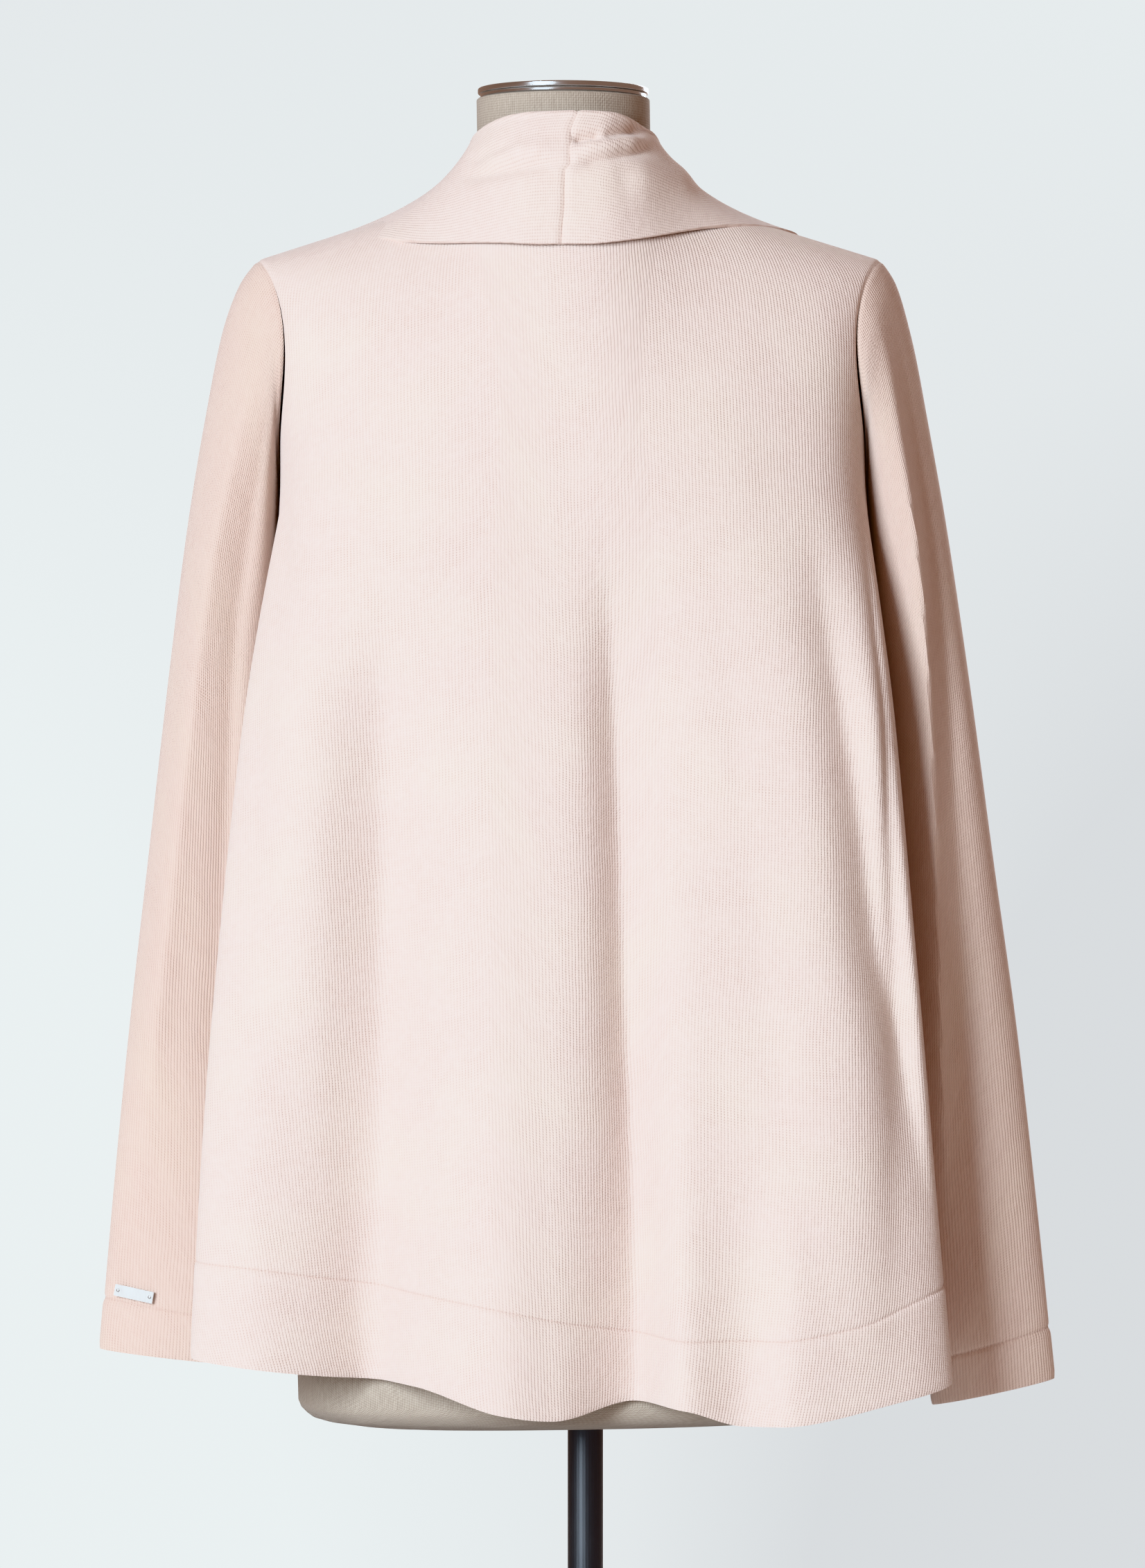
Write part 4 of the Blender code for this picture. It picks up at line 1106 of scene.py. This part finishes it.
def stitch_line(name, points, normals):
    """Stitches along a line of points on the cloth, with its outward directions."""
    travelled = np.concatenate([[0], np.cumsum(np.linalg.norm(np.diff(points, axis=0), axis=1))])
    places = np.arange(STITCH_PITCH, travelled[-1] - STITCH_PITCH / 2, STITCH_PITCH)
    corners, faces = one_stitch()
    sizes = np.array([STITCH_LENGTH / 2, THREAD_RADIUS, THREAD_RADIUS])
    all_corners, all_faces = [], []
    for number, place in enumerate(places):
        centre = between(place, travelled, points)
        outward = unit(between(place, travelled, normals))
        forward = unit(between(place + LOOK_AHEAD, travelled, points) - centre)
        side = np.cross(outward, forward)
        turned = (corners * sizes) @ np.array([forward, side, outward])
        all_corners.append(turned + centre + ORIGIN_SHIFT)
        first = number * len(corners)
        all_faces += [tuple(first + corner for corner in face) for face in faces]
    mesh = bpy.data.meshes.new(name)
    mesh.from_pydata(np.concatenate(all_corners).tolist(), [], all_faces)
    mesh.shade_smooth()
    piece = bpy.data.objects.new(name, mesh)
    bpy.context.scene.collection.objects.link(piece)
    print(name, "has", len(places), "stitches")
    return piece


def line_at(points, from_line):
    """The row of a panel nearest to its stitched line, with its outward directions."""
    row = int(np.argmin(np.abs(from_line[:, 0])))
    return points[row], grid_normals(points)[row]


back_stitches = stitch_line("back_hem_stitches", *line_at(back_points, back_from_line))
front_left_stitches = stitch_line(
    "front_left_hem_stitches", *line_at(front_left_points, front_left_from_line))
front_right_stitches = stitch_line(
    "front_right_hem_stitches", *line_at(front_right_points, front_right_from_line))
sleeve_left_stitches = stitch_line(
    "sleeve_left_hem_stitches", *line_at(left_points, left_from_line))
sleeve_right_stitches = stitch_line(
    "sleeve_right_hem_stitches", *line_at(right_points, right_from_line))

# %% [markdown]
# ## The plate on the cuff
#
# A small bare metal plate sits on the wearer's left cuff, over the stitched line. Its
# CAD shape is right. Two flat studs near its ends hold it to the cloth.

# %% Plate studs
STUD_RADIUS = 0.0011
STUD_FLATNESS = 0.45
STUD_INSET = 0.0022


def make_studs():
    low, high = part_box("cuff_plate")
    plate = np.array([vertex.co[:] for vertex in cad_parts["cuff_plate"].data.vertices])
    centre = plate.mean(axis=0)
    _, _, axes = np.linalg.svd(plate - centre)
    length_way, height_way = axes[0], axes[1]
    outward = np.cross(length_way, height_way)
    if outward[1] < 0:
        outward = -outward
    reach = np.abs((plate - centre) @ length_way).max()
    thick = np.abs((plate - centre) @ outward).max()
    parts = []
    for way in (-1, 1):
        bpy.ops.mesh.primitive_uv_sphere_add(segments=20, ring_count=10, radius=STUD_RADIUS)
        stud = bpy.context.object
        corners = np.array([vertex.co[:] for vertex in stud.data.vertices])
        corners[:, 2] *= STUD_FLATNESS
        place = centre + length_way * way * (reach - STUD_INSET) + outward * thick
        turned = corners @ np.array([length_way, height_way, outward]) + place
        stud.data.vertices.foreach_set("co", turned.reshape(-1))
        parts.append(stud)
    bpy.ops.object.select_all(action="DESELECT")
    for stud in parts:
        stud.select_set(True)
    bpy.context.view_layer.objects.active = parts[0]
    bpy.ops.object.join()
    piece = bpy.context.object
    piece.name = "plate_studs"
    piece.data.shade_smooth()
    print("plate from", np.round(low, 3), "to", np.round(high, 3))
    return piece


plate_studs = make_studs()

# %% [markdown]
# ## Writing materials as sums
#
# A material is a small sum over the surface: a wave for each knitted column, a wave for
# each row, and noise for the yarn. The class below wraps a node's output, so that the
# sum can be written with + - * and /, and each sign adds a Math node.

# %% Shader values
class Value:
    """One output of a node; arithmetic on it adds Math nodes."""

    def __init__(self, tree, socket):
        self.tree = tree
        self.socket = socket

    def math(self, operation, *others):
        return add_node(self.tree, "ShaderNodeMath", {"operation": operation},
                        dict(enumerate((self,) + others)))

    def __add__(self, other):
        return self.math("ADD", other)

    def __radd__(self, other):
        return self.math("ADD", other)

    def __sub__(self, other):
        return self.math("SUBTRACT", other)

    def __rsub__(self, other):
        return (self * -1.0) + other

    def __mul__(self, other):
        return self.math("MULTIPLY", other)

    def __rmul__(self, other):
        return self.math("MULTIPLY", other)

    def __truediv__(self, other):
        return self.math("DIVIDE", other)

    def __pow__(self, other):
        return self.math("POWER", other)


def add_node(tree, kind, settings=None, inputs=None, output=0):
    """Any node: its settings are set first, then its sockets' values or links."""
    node = tree.nodes.new(kind)
    for name, setting in (settings or {}).items():
        setattr(node, name, setting)
    for name, value in (inputs or {}).items():
        if isinstance(value, Value):
            tree.links.new(value.socket, node.inputs[name])
        else:
            node.inputs[name].default_value = value
    return Value(tree, node.outputs[output])


def new_material(name, roughness, metallic=0.0, sheen=0.0):
    """A material's tree and its Principled shader, with the sockets that stay constant."""
    material = bpy.data.materials.new(name)
    material.use_nodes = True
    tree = material.node_tree
    shader = tree.nodes["Principled BSDF"]
    shader.inputs["Roughness"].default_value = roughness
    shader.inputs["Metallic"].default_value = metallic
    shader.inputs["Sheen Weight"].default_value = sheen
    return material, tree, shader


def mix(tree, factor, first, second):
    """A colour between two colours."""
    return add_node(tree, "ShaderNodeMix", {"data_type": "RGBA"},
                    {0: factor, 6: first, 7: second}, output=2)


def noise(tree, vector, scale, detail=2.0, roughness=0.5):
    """Noise from 0 to 1 over a vector."""
    return add_node(tree, "ShaderNodeTexNoise", {},
                    {"Vector": vector, "Scale": scale, "Detail": detail, "Roughness": roughness})


def wave(value):
    """A smooth wave from 0 to 1 that repeats each time the value grows by 1."""
    return (value * (2 * pi)).math("COSINE") * 0.5 + 0.5


def clamp(value):
    return value.math("MAXIMUM", 0.0).math("MINIMUM", 1.0)


print("shader helpers are ready")

# %% [markdown]
# ## The knit
#
# The cloth is a fine plain knit. Its wales are 2.0 mm apart, and a small dark gap shows
# between two wales at each row, 1.5 mm apart. The gaps come and go in patches, the
# wales wander a little, and the yarn is mottled in pink and cream. The same pattern
# drives the colour and the bump, so the dark gaps are also the low places. A thin darker
# line follows the stitches of the hem. The sleeves take a darker, peachier copy of it,
# which is painted shade for the warm shade that falls on them.

# %% Knit material
WALE = 0.0020
COURSE = 0.00150
KNIT_LIGHT = (0.790, 0.660, 0.600, 1.0)
KNIT_MID = (0.675, 0.535, 0.475, 1.0)
KNIT_CREAM = (0.745, 0.640, 0.540, 1.0)
KNIT_GAP = (0.430, 0.275, 0.220, 1.0)
NO_TINT = (1.0, 1.0, 1.0)
# Painted shade: the sleeves' knit is tinted darker and warmer than the body's.
SLEEVE_SHADE_TINT = (0.91, 0.845, 0.80)
NEEDLE_LINE = 0.0008


def knit_material(name, strength=1.0, tint=NO_TINT):
    """Knit in the piece's UV map, whose U runs across the wales and V along them."""
    light, middle, cream, gaps = [tuple(np.multiply(colour[:3], tint)) + (1.0,)
                                  for colour in (KNIT_LIGHT, KNIT_MID, KNIT_CREAM, KNIT_GAP)]
    material, tree, shader = new_material(name, 0.92, sheen=0.25)
    uv = add_node(tree, "ShaderNodeUVMap", {"uv_map": "cloth"})
    u = add_node(tree, "ShaderNodeSeparateXYZ", {}, {0: uv}, output=0)
    v = add_node(tree, "ShaderNodeSeparateXYZ", {}, {0: uv}, output=1)
    wander = noise(tree, uv, 22.0) - 0.5
    wale = u / WALE + wander * 1.1
    course = v / COURSE + (noise(tree, uv, 60.0) - 0.5) * 1.6
    from_middle = (wale.math("FRACT") - 0.5).math("ABSOLUTE") * 2.0
    ridge = 1.0 - from_middle ** 2.0
    leg = wave(course + from_middle * 0.45)
    gap = clamp((from_middle - 0.45) * 1.9) * wave(course + 0.5) ** 1.5
    patch = clamp((noise(tree, uv, 48.0, 3.0) - 0.36) * 2.6)
    fine = noise(tree, uv, 900.0, 2.0)
    yarn = noise(tree, uv, 210.0, 3.0, 0.6)
    cloud = noise(tree, uv, 14.0, 2.0)
    dark = gap * (patch * 0.70 + 0.30) * 1.05 * strength
    dark = clamp(dark + (1.0 - ridge) * 0.07 * strength)
    tone = clamp(cloud * 0.4 + yarn * 1.1 + fine * 0.7 - 0.65)
    colour = mix(tree, tone, middle, light)
    colour = mix(tree, clamp(cloud * 3.0 - 1.3) * 0.35, colour, cream)
    colour = mix(tree, dark, colour, gaps)
    from_line = add_node(tree, "ShaderNodeAttribute", {"attribute_name": "from_line"}, output=2)
    off_line = from_line.math("ABSOLUTE") / NEEDLE_LINE
    on_line = clamp(1.0 - off_line) * wave(u / STITCH_PITCH) ** 0.5
    colour = mix(tree, on_line * 0.55, colour, gaps)
    height = ridge * 0.28 + leg * ridge * 0.26 - gap * 0.45 + fine * 0.60 + yarn * 0.70
    bump = add_node(tree, "ShaderNodeBump", {},
                    {"Strength": 0.80, "Distance": 0.00050, "Height": height})
    tree.links.new(colour.socket, shader.inputs["Base Color"])
    tree.links.new(bump.socket, shader.inputs["Normal"])
    return material


body_knit = knit_material("blush_knit")
# Painted shade: the sleeves get a darker, warmer copy of the body's knit.
sleeve_shaded_knit = knit_material("blush_knit_shaded_sleeve", tint=SLEEVE_SHADE_TINT)
collar_knit = knit_material("blush_knit_collar", strength=0.7)
print("knit:", round(WALE * 1000, 2), "mm wales and", round(COURSE * 1000, 2), "mm rows")

# %% [markdown]
# ## The linen
#
# The form's linen is a coarse plain weave of uneven beige and brown yarns. Its lowest
# 10 mm is darkened in patches, which is painted shade from the cardigan's hem above it.
# Two waves make the warp and the weft, a third one chooses which of them lies on top,
# and stretched noise makes the thick places of the yarn.

# %% Linen
WEAVE = 0.0015
LINEN_LIGHT = (0.480, 0.405, 0.330, 1.0)
LINEN_DARK = (0.270, 0.210, 0.165, 1.0)
# Painted shade: the colour of the darkened lower edge of the linen, under the hem.
LINEN_HEM_SHADE = (0.180, 0.135, 0.110, 1.0)


def linen_material():
    material, tree, shader = new_material("natural_linen", 0.88, sheen=0.1)
    uv = add_node(tree, "ShaderNodeUVMap", {"uv_map": "cloth"})
    u = add_node(tree, "ShaderNodeSeparateXYZ", {}, {0: uv}, output=0)
    v = add_node(tree, "ShaderNodeSeparateXYZ", {}, {0: uv}, output=1)
    bend = (noise(tree, uv, 30.0) - 0.5) * 0.8
    warp, weft = wave(u / WEAVE + bend), wave(v / WEAVE + bend)
    over = wave((u / WEAVE + v / WEAVE) * 0.5)
    thread = warp * over + weft * (1.0 - over)
    slub = noise(tree, add_node(tree, "ShaderNodeMapping", {}, {0: uv, 3: (1.0, 0.18, 1.0)}), 700.0)
    grain = noise(tree, uv, 1600.0, 2.0)
    tone = clamp(thread * 0.55 + slub * 0.7 + grain * 0.35 - 0.35)
    colour = mix(tree, tone, LINEN_DARK, LINEN_LIGHT)
    place = add_node(tree, "ShaderNodeTexCoord", {}, output=3)
    height = add_node(tree, "ShaderNodeSeparateXYZ", {}, {0: place}, output=2)
    # Painted shade: the lowest 10 mm of the linen, under the cardigan's hem, is darkened in
    # patches.
    low = clamp(1.0 - (height - FORM_FOOT) / 0.010)
    hem_shade = low * noise(tree, uv, 60.0, 4.0, 0.7)
    colour = mix(tree, clamp(hem_shade * 0.9), colour, LINEN_HEM_SHADE)
    bump = add_node(tree, "ShaderNodeBump", {},
                    {"Strength": 0.6, "Distance": 0.0004, "Height": thread + slub * 0.6})
    tree.links.new(colour.socket, shader.inputs["Base Color"])
    tree.links.new(bump.socket, shader.inputs["Normal"])
    return material


linen = linen_material()
print("linen yarns are", round(WEAVE * 1000, 1), "mm apart")

# %% [markdown]
# ## Metal and thread
#
# The cap is polished, and the pole and base are dark satin metal with fine brushing,
# which is noise stretched one way. It varies the roughness and the colour a little, as
# handling does. The sewing thread matches the knit but is a shade darker.

# %% Metals and thread
THREAD_DARK = (0.560, 0.410, 0.350, 1.0)
THREAD_LIGHT = (0.700, 0.550, 0.490, 1.0)


def metal_material(name, colour, low, high, brushing, scale=(1.0, 1.0, 1.0)):
    """Metal whose roughness and colour vary a little; scale stretches the brushing."""
    material, tree, shader = new_material(name, low, metallic=1.0)
    place = add_node(tree, "ShaderNodeTexCoord", {}, output=3)
    stretched = add_node(tree, "ShaderNodeMapping", {}, {0: place, 3: scale})
    streak = noise(tree, stretched, brushing, 3.0)
    cloud = noise(tree, place, 35.0, 2.0)
    rough = streak * (high - low) + low + cloud * 0.05
    darker = tuple(channel * 0.75 for channel in colour[:3]) + (1.0,)
    tint = mix(tree, clamp(streak * 0.6 + cloud * 0.4), darker, colour)
    bump = add_node(tree, "ShaderNodeBump", {},
                    {"Strength": 0.15, "Distance": 0.0001, "Height": streak})
    tree.links.new(rough.socket, shader.inputs["Roughness"])
    tree.links.new(tint.socket, shader.inputs["Base Color"])
    tree.links.new(bump.socket, shader.inputs["Normal"])
    return material


chrome = metal_material("polished_cap", (0.62, 0.63, 0.64, 1.0), 0.08, 0.22, 300.0, (0.2, 0.2, 3.0))
gunmetal = metal_material("gunmetal_pole", (0.096, 0.100, 0.108, 1.0), 0.30, 0.48, 500.0,
                          (3.0, 3.0, 0.1))
base_metal = metal_material("gunmetal_base", (0.086, 0.090, 0.098, 1.0), 0.32, 0.52, 220.0)
plate_metal = metal_material("satin_plate", (0.560, 0.545, 0.530, 1.0), 0.22, 0.40, 900.0,
                             (1.0, 1.0, 0.2))


def thread_material():
    material, tree, shader = new_material("hem_thread", 0.75, sheen=0.2)
    place = add_node(tree, "ShaderNodeTexCoord", {}, output=3)
    twist = noise(tree, place, 2500.0, 2.0)
    colour = mix(tree, twist, THREAD_DARK, THREAD_LIGHT)
    tree.links.new(colour.socket, shader.inputs["Base Color"])
    return material


thread = thread_material()
print("materials:", len(bpy.data.materials))

# %% [markdown]
# ## Putting the pieces on the frame
#
# A new cloth takes the place of the CAD node it was modelled on, while stitches and
# studs are added beside theirs. Everything rides on the one rigid body, because the
# object has no joints. The pole, the base and the cuff plate keep their CAD shapes and
# are only repainted.

# %% Dress the frame
def dress(piece, material, node, *replaced):
    """Give a new piece its material and body; node, the node it stands for or belongs to, is not
    used.
    """
    piece.data.materials.clear()
    piece.data.materials.append(material)
    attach(piece, "root")
    if replaced:
        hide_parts(*replaced)


def repaint(node, material):
    """A better material on a CAD node that keeps its shape."""
    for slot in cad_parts[node].material_slots:
        slot.material = material


dress(back, body_knit, "back", "back")
dress(front_left, body_knit, "front_left", "front_left")
dress(front_right, body_knit, "front_right", "front_right")
dress(sleeve_left, sleeve_shaded_knit, "sleeve_left", "sleeve_left")
dress(sleeve_right, sleeve_shaded_knit, "sleeve_right", "sleeve_right")
dress(collar_left, collar_knit, "collar_left", "collar_left")
dress(collar_right, collar_knit, "collar_right", "collar_right")
dress(linen_form, linen, "form_torso", "form_torso")
dress(chrome_cap, chrome, "neck_cap", "neck_cap")
dress(plate_studs, plate_metal, "cuff_plate")
for stitches, node in ((back_stitches, "back"), (front_left_stitches, "front_left"),
                       (front_right_stitches, "front_right"),
                       (sleeve_left_stitches, "sleeve_left"),
                       (sleeve_right_stitches, "sleeve_right")):
    dress(stitches, thread, node)
repaint("pole", gunmetal)
repaint("base", base_metal)
repaint("cuff_plate", plate_metal)
print("the frame is dressed")

# %% [markdown]
# ## The shapes of the cloth pieces
#
# The swing back and the fronts widen to the hem, the sleeves taper, and the
# collar halves are long curved bands that are folded double.

# %% Cloth pieces
print("the cloth pieces are the back, two fronts, two sleeves and two collar halves")

# %% [markdown]
# ## Floor and light
#
# The photograph is a plain studio shot. A large soft light stands at the camera's left
# and nearly washes out that side. A weaker one on the far side lights the fronts, which
# this camera doesn't see. The world is the pale backdrop to the camera, lighter at its
# lower left and upper right. To everything else it is a weak warm glow, like the light
# that the pink cloth and the room throw back.

# %% Studio
FLOOR_RADIUS = 1.85
FLOOR_DARK = (0.80, 0.82, 0.82, 1.0)
FLOOR_LIGHT = (0.84, 0.86, 0.86, 1.0)
BACKDROP_DARK = (0.740, 0.765, 0.785, 1.0)
BACKDROP_LIGHT = (0.990, 1.055, 1.065, 1.0)
FILL_COLOUR = (0.380, 0.250, 0.195, 1.0)
KEY_COLOUR = (0.86, 1.03, 1.16)
FRONT_COLOUR = (0.95, 1.0, 1.05)
LIGHT_TARGET = (0.0, 0.0, 0.75)


def make_floor():
    bpy.ops.mesh.primitive_circle_add(vertices=96, radius=FLOOR_RADIUS, fill_type="NGON")
    floor = bpy.context.object
    floor.name = "studio_floor"
    material, tree, shader = new_material("pale_floor", 0.7)
    place = add_node(tree, "ShaderNodeTexCoord", {}, output=3)
    tone = noise(tree, place, 6.0, 3.0)
    colour = mix(tree, tone, FLOOR_DARK, FLOOR_LIGHT)
    tree.links.new(colour.socket, shader.inputs["Base Color"])
    floor.data.materials.append(material)


def make_world():
    world = bpy.data.worlds.new("pale_studio")
    bpy.context.scene.world = world
    world.use_nodes = True
    tree = world.node_tree
    way = add_node(tree, "ShaderNodeTexCoord", {}, output=0)
    left = add_node(tree, "ShaderNodeSeparateXYZ", {}, {0: way}, output=0)
    up = add_node(tree, "ShaderNodeSeparateXYZ", {}, {0: way}, output=2)
    share = clamp(left * 6.0 + up * 0.3 - left * up * 60.0 + 0.5)
    backdrop = mix(tree, share, BACKDROP_DARK, BACKDROP_LIGHT)
    seen = add_node(tree, "ShaderNodeLightPath", {}, output=0)
    colour = mix(tree, seen, FILL_COLOUR, backdrop)
    background = tree.nodes["Background"]
    tree.links.new(colour.socket, background.inputs["Color"])
    background.inputs["Strength"].default_value = 1.0


def add_light(name, place, size, power, colour):
    """A rectangular soft light that looks at the garment."""
    data = bpy.data.lights.new(name, "AREA")
    data.shape = "RECTANGLE"
    data.size, data.size_y = size
    data.energy = power
    data.color = colour
    light = bpy.data.objects.new(name, data)
    bpy.context.scene.collection.objects.link(light)
    light.location = place
    aim = np.array(LIGHT_TARGET) - np.array(place)
    light.rotation_euler = Vector(aim).to_track_quat("-Z", "Y").to_euler()


make_floor()
make_world()
add_light("key", (1.94, 3.50, 1.6), (1.5, 1.7), 236.0, KEY_COLOUR)
add_light("front", (-1.3, -3.4, 1.7), (2.0, 2.0), 110.0, FRONT_COLOUR)
print("studio is lit")

# %% [markdown]
# ## The camera
#
# It stands level, 4 m behind the cardigan, with a long lens, as in the photograph. The
# picture is shown with a view transform that keeps the pale cloth from burning out.

# %% Camera
CAMERA_HEIGHT = 0.703
CAMERA_SIDE = 0.0078
CAMERA_DISTANCE = 4.0
CAMERA_LENS = 151.5

camera_data = bpy.data.cameras.new("photo_camera")
camera_data.sensor_fit = "AUTO"
camera_data.sensor_width = 36.0
camera_data.lens = CAMERA_LENS
camera_data.dof.use_dof = False
camera = bpy.data.objects.new("photo_camera", camera_data)
bpy.context.scene.collection.objects.link(camera)
camera.location = (CAMERA_SIDE, CAMERA_DISTANCE, CAMERA_HEIGHT)
camera.rotation_euler = (radians(90), 0, radians(180))
bpy.context.scene.camera = camera
bpy.context.scene.view_settings.view_transform = "Khronos PBR Neutral"
print("camera looks at the back from", CAMERA_DISTANCE, "m")
